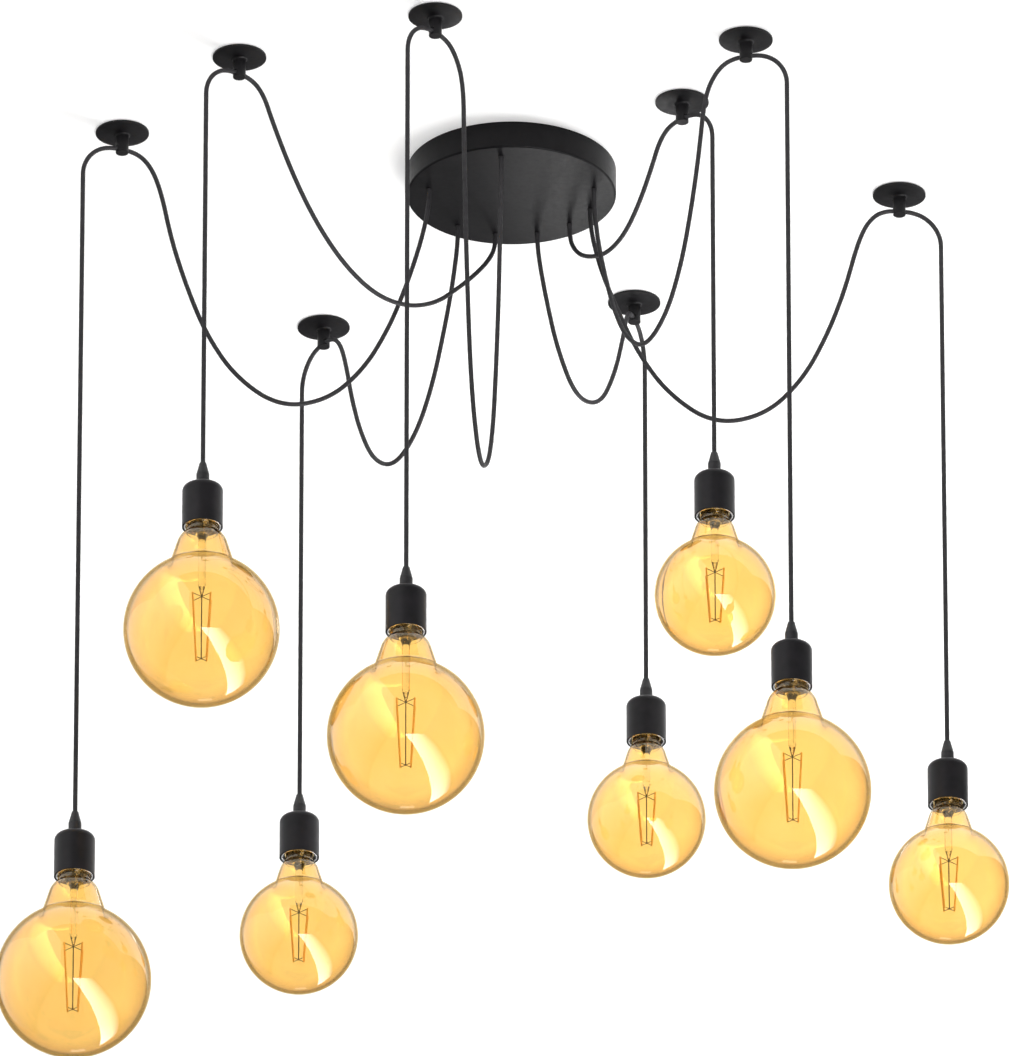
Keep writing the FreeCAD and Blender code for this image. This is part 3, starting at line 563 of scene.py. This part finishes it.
lamp_places = [middle("drop_cord_%d" % number)[:2] for number in LAMPS]
hook_turns = [math.radians(turn) for turn in HOOK_TURNS]
hook_places = [
    (x - HOOK_BEND[-1][0] * math.cos(turn), y - HOOK_BEND[-1][0] * math.sin(turn), 0)
    for (x, y), turn in zip(lamp_places, hook_turns)
]
hook_blank = new_piece("hook_blank", hook_mesh)
hooks_mesh = grow(
    tree,
    points_mesh(hook_places, hook_turns),
    eye_radius=EYE_RADIUS,
    eye_drop=-EYE_DROP,
    hook=hook_blank,
)
bpy.data.objects.remove(hook_blank)
settle(new_piece("swag_hooks", hooks_mesh), "canopy_frame", "black_coat", "ceiling_hooks")

# ---- fixings inside the canopy and above the ceiling ----------------------------------
# The CAD pieces that a closed canopy hides keep their own meshes: a zinc-plated bracket and
# its wood screws, blackened grub screws, a white nylon terminal block, and black nylon
# clamps that keep the swags' weight off the terminals.


def dress(node, finish):
    """Puts a finish on a CAD node, in the object's own material slots."""
    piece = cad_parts[node]
    for place in piece.material_slots:
        place.link = "OBJECT"
        place.material = finish


# Bright zinc plate, blue passivated in a barrel: soft spangle, a cloudy gloss.
zinc = surface(
    "bright_zinc_plate",
    ("#AEB2B8", "#C6C9CC", 0.004),
    (0.24, 0.42, 0.002, 4.0),
    (0.00001, 0.0006, 3.0),
    Metallic=1.0,
)

# Blackened steel, oiled after the hot oxide bath: near black with brown in it.
oxide = surface(
    "black_oxide_steel",
    ("#1E1C1B", "#2C2A29", 0.002),
    (0.30, 0.50, 0.001, 3.0),
    (0.00001, 0.0005),
    Metallic=0.7,
)

# Natural nylon, injection moulded: milky, waxy, with a faint flow pattern.
nylon = surface(
    "natural_moulded_nylon",
    ("#DDD9CC", "#EAE6DB", 0.008, 3.0, (1, 0.3, 1)),
    (0.38, 0.52, 0.002),
    (0.00002, 0.0007),
    Subsurface_Weight=0.15,
    Subsurface_Scale=0.003,
)

# Black glass-filled nylon, moulded in a spark-eroded tool: fine even texture.
black_nylon = surface(
    "black_moulded_nylon",
    ("#1B1B1C", "#272728", 0.004),
    (0.48, 0.62, 0.002),
    (0.00003, 0.0005, 3.0),
)

for node, finish in (
    ("ceiling_bracket", zinc),
    ("bracket_screws", zinc),
    ("hook_screws", zinc),
    ("canopy_screws", oxide),
    ("terminal_block", nylon),
    ("cord_clamps", black_nylon),
):
    dress(node, finish)

# ---- cord grips -----------------------------------------------------------------------
# Eight strain reliefs moulded in black nylon: a cone that squeezes the cord as it screws
# down, on a round nut, with a threaded spigot into the cup. The cord ends inside the cone.
GRIP_RADIUS = 0.0067
GRIP_TIP = 0.0034
GRIP_CONE = 0.013
GRIP_NUT = 0.013
GRIP_THREAD = 0.0049
GRIP_THREAD_HEIGHT = 0.007
GRIP_BORE = 0.0029
BORE_DEPTH = 0.006
SEAM = 0.0004
grip_mesh = lathe(
    rounded(
        [
            (0, -GRIP_THREAD_HEIGHT),
            (GRIP_THREAD, -GRIP_THREAD_HEIGHT, 0.0005),
            (GRIP_THREAD, 0),
            (GRIP_RADIUS, 0, 0.0005),
            (GRIP_RADIUS, GRIP_NUT - SEAM, SEAM),
            (GRIP_RADIUS - SEAM, GRIP_NUT - SEAM),
            (GRIP_RADIUS - SEAM, GRIP_NUT),
            (GRIP_RADIUS, GRIP_NUT, SEAM),
            (GRIP_TIP, GRIP_NUT + GRIP_CONE, 0.0004),
            (GRIP_BORE, GRIP_NUT + GRIP_CONE, 0.0001),
            (GRIP_BORE, GRIP_NUT + GRIP_CONE - BORE_DEPTH),
            (0, GRIP_NUT + GRIP_CONE - BORE_DEPTH),
        ]
    ),
    steps=48,
)

# Black nylon from a lightly textured tool: even, faintly waxy, dulled where it is gripped.
grip_finish = surface(
    "black_grip_nylon",
    ("#1F1E20", "#2B2A2C", 0.005),
    (0.42, 0.58, 0.003),
    (0.00003, 0.0006, 3.0),
)
grip_mesh.materials.append(grip_finish)

for number, (x, y) in zip(LAMPS, lamp_places):
    node = "cord_grip_%d" % number
    grip_top = middle(node)[3]
    grip = new_piece("grip_%d" % number, moved(grip_mesh, x, y, grip_top - GRIP_NUT - GRIP_CONE))
    settle(grip, "lamp_%d" % number, "black_plastic", node)

# ---- socket cups ----------------------------------------------------------------------
# Eight shells deep drawn from 1.5 mm steel, 42 mm across and 48 mm high, with a rounded
# shoulder and a trimmed, deburred mouth, lacquered satin black inside and out.
CUP_RADIUS = 0.021
CUP_HEIGHT = 0.048
CUP_WALL = 0.0015
CUP_SHOULDER = 0.007
THREAD_GAP = 0.00005
cup_mesh = lathe(
    rounded(
        [
            (GRIP_THREAD + THREAD_GAP, CUP_HEIGHT),
            (GRIP_THREAD + THREAD_GAP, CUP_HEIGHT - CUP_WALL),
            (CUP_RADIUS - CUP_WALL, CUP_HEIGHT - CUP_WALL, CUP_SHOULDER - CUP_WALL),
            (CUP_RADIUS - CUP_WALL, 0, EDGE),
            (CUP_RADIUS, 0, EDGE),
            (CUP_RADIUS, CUP_HEIGHT, CUP_SHOULDER),
        ],
        steps=12,
    ),
    steps=96,
)
# Satin black lacquer on drawn steel: the lightest of the black coats.
cup_finish = powder_coat("lacquer_on_drawn_steel", "#1F1E20", "#262427", 0.34, 0.42, 0.2)
cup_mesh.materials.append(cup_finish)

for number, (x, y) in zip(LAMPS, lamp_places):
    node = "socket_cup_%d" % number
    cup = new_piece("drawn_cup_%d" % number, moved(cup_mesh, x, y, middle(node)[2]))
    settle(cup, "lamp_%d" % number, "black_coat", node)

# ---- lampholders ----------------------------------------------------------------------
# In each cup: a moulded black sleeve that takes the bulb's screw cap, and below it a bright
# chromed ring with twelve notches round its bore, all but flush with the cup's mouth.
HOLDER_GAP = 0.0003
HOLDER_HEIGHT = 0.036
HOLDER_WALL = 0.004
RING_HEIGHT = 0.003
RING_INSET = 0.0003
RING_BORE = 0.0175
NOTCHES = 12
NOTCH_RADIUS = 0.0008
CAP_RADIUS = 0.0131
ring_top = RING_INSET + RING_HEIGHT
ring_outer = CUP_RADIUS - CUP_WALL - HOLDER_GAP
cap_room = CAP_RADIUS + HOLDER_GAP
holder_top = ring_top + HOLDER_HEIGHT
sleeve_mesh = lathe(
    rounded(
        [
            (0, holder_top),
            (0, holder_top - HOLDER_WALL),
            (cap_room, holder_top - HOLDER_WALL, 0.001),
            (cap_room, ring_top + HOLDER_GAP, EDGE),
            (ring_outer - EDGE, ring_top + HOLDER_GAP, EDGE / 3),
            (ring_outer - EDGE, ring_top + 2 * HOLDER_GAP, EDGE / 3),
            (cap_room + HOLDER_WALL, ring_top + 2 * HOLDER_GAP),
            (cap_room + HOLDER_WALL, holder_top, 0.001),
        ]
    ),
    steps=64,
)
ring_blank = lathe(
    rounded(
        [
            (RING_BORE, RING_INSET, 0.0004),
            (ring_outer, RING_INSET, 0.0004),
            (ring_outer, ring_top, EDGE),
            (RING_BORE, ring_top, EDGE),
        ]
    ),
    steps=144,
)

# Black phenolic, compression moulded: hard, dark brown-black, with a polished-tool gloss.
phenolic = surface(
    "black_moulded_phenolic",
    ("#171413", "#231F1D", 0.005),
    (0.22, 0.36, 0.003),
    (0.00001, 0.001),
)
sleeve_mesh.materials.append(phenolic)

# Decorative chromium over nickel on a turned ring: fine turning lines, faint hazing.
chrome = surface(
    "chrome_plate_on_turned_ring",
    ("#C9C9CB", "#DEDEDF", 0.003),
    (0.12, 0.24, 0.002, 3.0),
    (0.00001, 0.0005, 2.0, (1, 1, 6)),
    Metallic=1.0,
)

# round cutters stand evenly on the ring's bore
tree, given = growth(
    "notch_ring", notches="Int", bore="Float", notch_radius="Float", level="Float"
)
places = add(
    tree,
    "GeometryNodeMeshCircle",
    {"Vertices": given["notches"], "Radius": given["bore"]},
)
raised = add(tree, "ShaderNodeCombineXYZ", {"Z": given["level"]})
lifted = add(
    tree,
    "GeometryNodeSetPosition",
    {"Geometry": places.outputs[0], "Offset": raised.outputs[0]},
)
mill = add(
    tree,
    "GeometryNodeMeshCylinder",
    {"Vertices": 16, "Radius": given["notch_radius"], "Depth": 3 * RING_HEIGHT},
)
mills = add(
    tree,
    "GeometryNodeInstanceOnPoints",
    {"Points": lifted.outputs[0], "Instance": mill.outputs["Mesh"]},
)
solid_mills = add(tree, "GeometryNodeRealizeInstances", {0: mills.outputs[0]})
end_growth(tree, cut(tree, given["Geometry"], solid_mills.outputs[0]), chrome)
ring_mesh = grow(
    tree,
    ring_blank,
    notches=NOTCHES,
    bore=RING_BORE,
    notch_radius=NOTCH_RADIUS,
    level=RING_INSET,
)

for number, (x, y) in zip(LAMPS, lamp_places):
    body = "lamp_%d" % number
    node = "lampholder_%d" % number
    mouth = middle("socket_cup_%d" % number)[2]
    sleeve = new_piece("holder_sleeve_%d" % number, moved(sleeve_mesh, x, y, mouth))
    ring = new_piece("holder_ring_%d" % number, moved(ring_mesh, x, y, mouth))
    settle(sleeve, body, "black_plastic", node)
    settle(ring, body, "chrome_ring", node)

# ---- bulbs ----------------------------------------------------------------------------
# Eight blown soda-lime globes, 160 and 125 mm across, tinted by an amber lacquer baked on the
# outside. Each has a nickelled screw cap, a clear glass stem, and four light strips that lean
# in round a centre wire, welded to two crosses of thin wire.
GLASS_WALL = 0.0009
CAP_HEIGHT = 0.023
CAP_TIP = 0.0046
CAP_TIP_HEIGHT = 0.003
STEM_FLARE = 0.016
STEM_GAP = 0.0003
STEM_ROD = 0.004
STEM_TIP = 0.013
STEM_FILLET = 0.010
STRIP_RADIUS = 0.0009
STRIP_TOP = 0.013
STRIP_FOOT = 0.0075
WIRE = 0.0006
WIRE_ROOT = 0.002
ARM = 0.0004
CAP_RINGS = 5
CAP_RING_PITCH = 0.0036
CAP_RING_DEPTH = 0.0007
CAP_RING_START = 0.002
CAP_RING_STEPS = 6
GLOBES = {
    "large": dict(
        globe=0.080, neck=0.0258, level=0.0992, shoulder=0.022, blend=0.010, mouth=0.117,
        throat=0.0168, stem=0.069, strip=0.072,
    ),
    "small": dict(
        globe=0.0625, neck=0.0203, level=0.0775, shoulder=0.017, blend=0.008, mouth=0.091,
        throat=0.0152, stem=0.054, strip=0.056,
    ),
}
NECK_TAPER = math.radians(17)
GLOBE_STEPS = 52
BLEND_STEPS = 9
SHOULDER_STEPS = 12
KINDS = ["large", "large", "small", "large", "small", "small", "large", "small"]


def arc(centre, radius, first, last, steps):
    """Points along an arc in the plane of radius and height."""
    turns = [first + (last - first) * i / steps for i in range(steps + 1)]
    return [centre + radius * Vector((math.cos(a), math.sin(a))) for a in turns]


def glass_line(kind, inset):
    """Half the glass's outline, set in from its outer face, from its lowest point: globe,
    hollow blend, neck cone, shoulder and throat. Heights are from the globe's centre."""
    size = GLOBES[kind]
    normal = Vector((math.cos(NECK_TAPER), math.sin(NECK_TAPER)))
    down = Vector((math.sin(NECK_TAPER), -math.cos(NECK_TAPER)))
    globe = size["globe"] - inset
    shoulder = size["shoulder"] - inset
    blend = size["blend"] + inset
    throat = size["throat"] - inset
    neck = Vector((size["neck"], size["level"])) - normal * inset
    shoulder_centre = neck - normal * shoulder
    shoulder_end = math.acos((throat - shoulder_centre.x) / shoulder)
    # the blend's centre lies beside the neck cone and one blend radius outside the globe
    beside = neck + normal * blend
    along = beside.dot(down)
    drop = -along - math.sqrt(along ** 2 - beside.length_squared + (globe + blend) ** 2)
    blend_centre = beside + down * drop
    tilt = math.atan2(blend_centre.y, blend_centre.x)
    points = arc(Vector((0, 0)), globe, -math.pi / 2, tilt, GLOBE_STEPS)
    back, cone = tilt + math.pi, NECK_TAPER + math.pi
    points += arc(blend_centre, blend, back, cone, BLEND_STEPS)[1:]
    points += arc(shoulder_centre, shoulder, NECK_TAPER, shoulder_end, SHOULDER_STEPS)
    points.append(Vector((throat, size["mouth"] + ring_top)))
    points[0].x = 0
    return points


# Amber lacquer on blown glass: clear and glossy, with the slow ripple of blown glass and a little
# unevenness where the lacquer ran. Painted shade deepens its colour to brown where the wall is
# seen edge on, standing in for the longer path of light through the tinted wall.
amber, tree, shader = finish_named("amber_lacquer_on_blown_glass")
edge_on = add(tree, "ShaderNodeLayerWeight", {"Blend": 0.35}).outputs["Facing"]
painted_rim_shade = add(
    tree,
    "ShaderNodeMapRange",
    {"Value": edge_on, "From Min": 0.25, "From Max": 1.0, "To Min": 0.0, "To Max": 1.0},
).outputs[0]
run = tint(tree, grain(tree, 0.06), "#FDDF9E", "#FEE3A8")
# painted shade: toward the rim the base colour turns brown by the facing angle alone
mix = add(
    tree,
    "ShaderNodeMix",
    {0: painted_rim_shade, 6: run, 7: linear("#B87A2C")},
    data_type="RGBA",
)
tree.links.new(mix.outputs[2], shader.inputs["Base Color"])
tree.links.new(spread(tree, grain(tree, 0.03), 0.004, 0.02), shader.inputs["Roughness"])
tree.links.new(bump(tree, grain(tree, 0.035, 1.0), 0.0003), shader.inputs["Normal"])
shader.inputs["IOR"].default_value = 1.45
shader.inputs["Transmission Weight"].default_value = 1.0
shader.inputs["Coat Weight"].default_value = 0.3
shader.inputs["Coat Roughness"].default_value = 0.02
shader.inputs["Coat IOR"].default_value = 1.6
# painted shade at the rim: seen edge on, the wall is mixed toward a pale brown-gold see-through
# tint, standing in for the light that a long path through the lacquered wall lets through
facing = add(tree, "ShaderNodeLayerWeight", {"Blend": 0.5}).outputs["Facing"]
painted_rim_band = add(
    tree,
    "ShaderNodeMapRange",
    {"Value": facing, "From Min": 0.62, "From Max": 0.76, "To Min": 0.0, "To Max": 0.88},
    interpolation_type="SMOOTHSTEP",
)
painted_rim_tint = add(tree, "ShaderNodeBsdfTransparent", {"Color": linear("#E7DBBD")})
rim = add(
    tree,
    "ShaderNodeMixShader",
    {0: painted_rim_band.outputs[0], 1: shader.outputs[0], 2: painted_rim_tint.outputs[0]},
)
tree.links.new(rim.outputs[0], tree.get_output_node("ALL").inputs["Surface"])

# Clear lead-glass stem, flame worked: smooth, with slow waves where it was pinched.
stem_glass = surface(
    "clear_flame_worked_glass",
    ("#F3F4F0", "#FAFAF6", 0.01),
    (0.01, 0.04, 0.006),
    (0.0002, 0.004),
    IOR=1.54,
    Transmission_Weight=1.0,
)

# Nickel plate on drawn brass: warm grey, drawn lines round it, a little tarnish.
nickel = surface(
    "nickel_plate_on_brass",
    ("#A8A196", "#C2BCB0", 0.003),
    (0.18, 0.34, 0.002, 3.0),
    (0.00001, 0.0005, 2.0, (1, 1, 5)),
    Metallic=1.0,
)

# Molybdenum support wire: drawn, dark grey, matt from the furnace.
wire_finish = surface(
    "drawn_molybdenum_wire",
    ("#3A332C", "#4E453B", 0.002),
    (0.35, 0.50, 0.001),
    (0.00001, 0.0004),
    Metallic=0.8,
)

# Light strips: chips on a thin carrier under yellow phosphor silicone, beaded and matt.
phosphor = surface(
    "yellow_phosphor_silicone",
    ("#E8B04A", "#F6C866", 0.0015, 2.0, (1, 1, 0.7)),
    (0.45, 0.60, 0.001),
    (0.0001, 0.0015, 2.0, (1, 1, 0.7)),
    Subsurface_Weight=0.1,
    Subsurface_Scale=0.001,
)


def rod(tree, sides, thick, ends):
    """A round rod between two places, as a mesh in a Geometry Nodes tree."""
    line = add(tree, "GeometryNodeCurvePrimitiveLine", ends)
    profile = add(
        tree, "GeometryNodeCurvePrimitiveCircle", {"Resolution": sides, "Radius": thick}
    )
    return add(
        tree,
        "GeometryNodeCurveToMesh",
        {"Curve": line.outputs[0], "Profile Curve": profile.outputs[0], "Fill Caps": True},
    ).outputs[0]


# one strip that leans from a wide circle in to a narrow one, set round the stem's axis by
# the turn of each point
strip_tree, given = growth(
    "lean_strips", top="Float", foot="Float", length="Float", thick="Float"
)
strip_start = add(strip_tree, "ShaderNodeCombineXYZ", {"X": given["top"]})
down = add(strip_tree, "ShaderNodeMath", {0: given["length"], 1: -1.0}, operation="MULTIPLY")
strip_end = add(strip_tree, "ShaderNodeCombineXYZ", {"X": given["foot"], "Z": down.outputs[0]})
ends = {"Start": strip_start.outputs[0], "End": strip_end.outputs[0]}
strip = rod(strip_tree, 16, given["thick"], ends)
end_growth(strip_tree, stand(strip_tree, given["Geometry"], strip), phosphor)

# the same way, four thin arms in a cross at each end of the strips
arm_tree, given = growth("cross_arms", reach="Float", thick="Float")
arm_end = add(arm_tree, "ShaderNodeCombineXYZ", {"X": given["reach"]})
arm = rod(arm_tree, 10, given["thick"], {"End": arm_end.outputs[0]})
end_growth(arm_tree, stand(arm_tree, given["Geometry"], arm), wire_finish)

# the cap's thread, drawn as a row of round rings
cap_wave = []
for i in range(CAP_RINGS * CAP_RING_STEPS + 1):
    share = i / CAP_RING_STEPS
    groove = CAP_RING_DEPTH * (1 + math.cos(2 * math.pi * share)) / 2
    cap_wave.append((CAP_RADIUS - groove, CAP_RING_START + CAP_RING_PITCH * share))
cap_mesh = lathe(
    rounded(
        [
            (0, 0),
            (CAP_RADIUS, 0, EDGE),
            *cap_wave,
            (CAP_RADIUS - 0.001, CAP_HEIGHT, 0.001),
            (CAP_TIP, CAP_HEIGHT + CAP_TIP_HEIGHT, 0.0008),
            (0, CAP_HEIGHT + CAP_TIP_HEIGHT),
        ]
    ),
    steps=64,
)
cap_mesh.materials.append(nickel)

quarters = [math.radians(45 + 90 * i) for i in range(4)]
parts = {}
for kind, size in GLOBES.items():
    outer = glass_line(kind, 0)
    inner = glass_line(kind, GLASS_WALL)
    glass = lathe(outer + inner[::-1], steps=112)
    glass.materials.append(amber)
    reach = size["stem"] + STEM_TIP
    stem = lathe(
        rounded(
            [
                (0, 0),
                (size["throat"] - GLASS_WALL - STEM_GAP, 0, EDGE),
                (STEM_ROD, -STEM_FLARE, STEM_FILLET),
                (STEM_ROD, -size["stem"], 0.003),
                (WIRE * 1.4, -reach, 0.0004),
                (0, -reach),
            ],
            steps=10,
        ),
        steps=48,
    )
    stem.materials.append(stem_glass)
    wire_top, wire_foot = WIRE_ROOT - reach, -reach - size["strip"]
    wire = lathe([(0, wire_top), (WIRE, wire_top), (WIRE, wire_foot), (0, wire_foot)], steps=16)
    wire.materials.append(wire_finish)
    strip_mesh = grow(
        strip_tree,
        points_mesh([(0, 0, -reach)] * 4, quarters),
        top=STRIP_TOP,
        foot=STRIP_FOOT,
        length=size["strip"],
        thick=STRIP_RADIUS,
    )
    top_arms = grow(
        arm_tree,
        points_mesh([(0, 0, -reach - WIRE)] * 4, quarters),
        reach=STRIP_TOP,
        thick=ARM,
    )
    foot_arms = grow(
        arm_tree,
        points_mesh([(0, 0, wire_foot + WIRE)] * 4, quarters),
        reach=STRIP_FOOT,
        thick=ARM,
    )
    parts[kind] = (
        ("bulb_cap", cap_mesh),
        ("bulb_stem", stem),
        ("centre_wire", wire),
        ("light_strips", strip_mesh),
        ("upper_cross", top_arms),
        ("lower_cross", foot_arms),
    ), glass

for number, (x, y), kind in zip(LAMPS, lamp_places, KINDS):
    body = "lamp_%d" % number
    node = "bulb_%d" % number
    mouth = middle("socket_cup_%d" % number)[2]
    inside, glass = parts[kind]
    level = mouth - GLOBES[kind]["mouth"]
    globe = new_piece("globe_%d" % number, moved(glass, x, y, level))
    settle(globe, body, "amber_glass", node)
    for name, mesh in inside:
        piece = new_piece("%s_%d" % (name, number), moved(mesh, x, y, mouth + ring_top))
        settle(piece, body, "chrome_ring" if name == "bulb_cap" else "amber_glass", node)

# ---- ceiling and light ----------------------------------------------------------------
# A matt white ceiling, clear from above so that the object can be seen from any side. Broad
# soft lamps stand in front, low on the right beyond the object, and far below, and a small
# one lights the canopy's floor. Cards that only glass and gloss show shape the globes.
GLOW = 0.42


def plain_tree(name):
    """A new empty material and its node tree."""
    finish = bpy.data.materials.new(name)
    finish.use_nodes = True
    finish.node_tree.nodes.clear()
    return finish, finish.node_tree


def stage_sheet(name, corners, finish):
    """A flat stage piece with these corners, in order round its edge."""
    mesh = bpy.data.meshes.new(name)
    mesh.from_pydata(corners, [], [range(len(corners))])
    piece = new_piece(name, mesh, finish)
    return piece


def on_rays(tree, *kinds):
    """1 on the rays of these kinds, and 0 on all others."""
    path = add(tree, "ShaderNodeLightPath").outputs
    seen = path["Is %s Ray" % kinds[0]]
    for kind in kinds[1:]:
        also = path["Is %s Ray" % kind]
        seen = add(tree, "ShaderNodeMath", {0: seen, 1: also}, operation="MAXIMUM").outputs[0]
    return seen


# White ceiling paint, rolled on and matt. It glows a little where it is seen, also in a
# reflection or through glass, which brings it close to the white background.
ceiling_paint, tree = plain_tree("matt_white_ceiling")
paint = add(tree, "ShaderNodeBsdfDiffuse", {"Color": linear("#D2D2D2")})
seen = on_rays(tree, "Camera", "Glossy", "Transmission")
glow = add(tree, "ShaderNodeMath", {0: seen, 1: GLOW}, operation="MULTIPLY")
shine = add(tree, "ShaderNodeEmission", {"Strength": glow.outputs[0]})
front = add(tree, "ShaderNodeAddShader", {0: paint.outputs[0], 1: shine.outputs[0]})
behind = add(tree, "ShaderNodeNewGeometry").outputs["Backfacing"]
clear = add(tree, "ShaderNodeBsdfTransparent").outputs[0]
# the sheet's corners run anticlockwise seen from above, so its back is the side to the room
mix = add(tree, "ShaderNodeMixShader", {0: behind, 1: clear, 2: front.outputs[0]})
add(tree, "ShaderNodeOutputMaterial", {"Surface": mix.outputs[0]})
LEVEL = 0.0005
LEFT, RIGHT, NEAR, FAR = -1.5, 1.5, -0.6, 3.0
plan = [(LEFT, NEAR), (RIGHT, NEAR), (RIGHT, FAR), (LEFT, FAR)]
stage_sheet("ceiling", [(x, y, LEVEL) for x, y in plan], ceiling_paint)


def card(name, corners, strength, axis="X", near=0.0, far=1e6):
    """A glowing card that fades along an axis from near to far, and is even without them.
    The camera doesn't see it and it lights nothing matt; glass and gloss show it."""
    finish, tree = plain_tree(name)
    place = add(tree, "ShaderNodeTexCoord").outputs["Object"]
    along = add(tree, "ShaderNodeSeparateXYZ", {0: place}).outputs[axis]
    level = add(
        tree,
        "ShaderNodeMapRange",
        {"Value": along, "From Min": near, "From Max": far, "To Min": strength, "To Max": 0.0},
    )
    shine = add(tree, "ShaderNodeEmission", {"Strength": level.outputs[0]})
    add(tree, "ShaderNodeOutputMaterial", {"Surface": shine.outputs[0]})
    sheet = stage_sheet(name, corners, finish)
    sheet.visible_camera = False
    sheet.visible_diffuse = False


# low on the right, with the curved left edge that the globes' crescents show
DEEP = -9.3
crescent_edge = [(-0.3, -20.0), (2.6, -10.5), (3.9, -4.0), (4.5, 1.0), (4.9, 7.5), (5.4, 18.0)]
outer_edge = [(13.0, 18.0), (13.0, -20.0)]
card(
    "crescent_card",
    [(x, y, DEEP) for x, y in crescent_edge + outer_edge],
    strength=9.0,
    axis="X",
    near=3.0,
    far=12.5,
)
# a wall of light on the left that fades downwards, for the soft left side of each globe
card(
    "left_card",
    [(-8.0, 9.0, -9.0), (-8.0, 9.0, 16.0), (-8.0, -26.0, 16.0), (-8.0, -26.0, -9.0)],
    strength=1.3,
    axis="Z",
    near=2.0,
    far=-9.0,
)
# far behind and low, where the flat floor of the canopy mirrors it to the camera
card(
    "far_card",
    [(-0.9, 10.0, -6.5), (0.9, 10.0, -6.5), (0.9, 10.0, -5.0), (-0.9, 10.0, -5.0)],
    strength=1.2,
)


def soft_lamp(name, place, aim, size, energy, glossy=False):
    """A square area lamp that glass doesn't show, nor a reflection unless glossy is set."""
    data = bpy.data.lights.new(name, "AREA")
    data.shape = "SQUARE"
    data.size = size
    data.energy = energy
    lamp = bpy.data.objects.new(name, data)
    bpy.context.scene.collection.objects.link(lamp)
    lamp.location = place
    lamp.rotation_euler = (Vector(aim) - Vector(place)).to_track_quat("-Z", "Y").to_euler()
    lamp.visible_glossy = glossy
    lamp.visible_transmission = False
    lamp.visible_camera = False


soft_lamp("soft_front", (0.3, -3.5, -0.6), (0, 0, -0.5), 1.2, 65.0)
soft_lamp("low_right", (1.3, 1.5, -2.6), (0, 0, -0.05), 1.6, 100.0)
soft_lamp("under_canopy", (0.09, 0.42, -0.30), (0.05, -0.09, -0.045), 0.14, 0.38, glossy=True)
soft_lamp("soft_below", (0.0, 1.0, -5.0), (0, 0.9, 0), 3.0, 90.0)

world = bpy.data.worlds.new("world")
bpy.context.scene.world = world
world.use_nodes = True
world.node_tree.nodes.clear()
# the camera, also through glass, sees white. Reflections and light come from a plain grey
# room, so that the black pieces stay black and the globes keep their contrast.
tree = world.node_tree
seen = on_rays(tree, "Camera", "Transmission")
room = add(tree, "ShaderNodeBackground", {"Color": linear("#707070")})
white = add(tree, "ShaderNodeBackground", {"Color": linear("#FFFFFF")})
sky = add(tree, "ShaderNodeMixShader", {0: seen, 1: room.outputs[0], 2: white.outputs[0]})
add(tree, "ShaderNodeOutputWorld", {"Surface": sky.outputs[0]})
bpy.context.scene.view_settings.view_transform = "Standard"
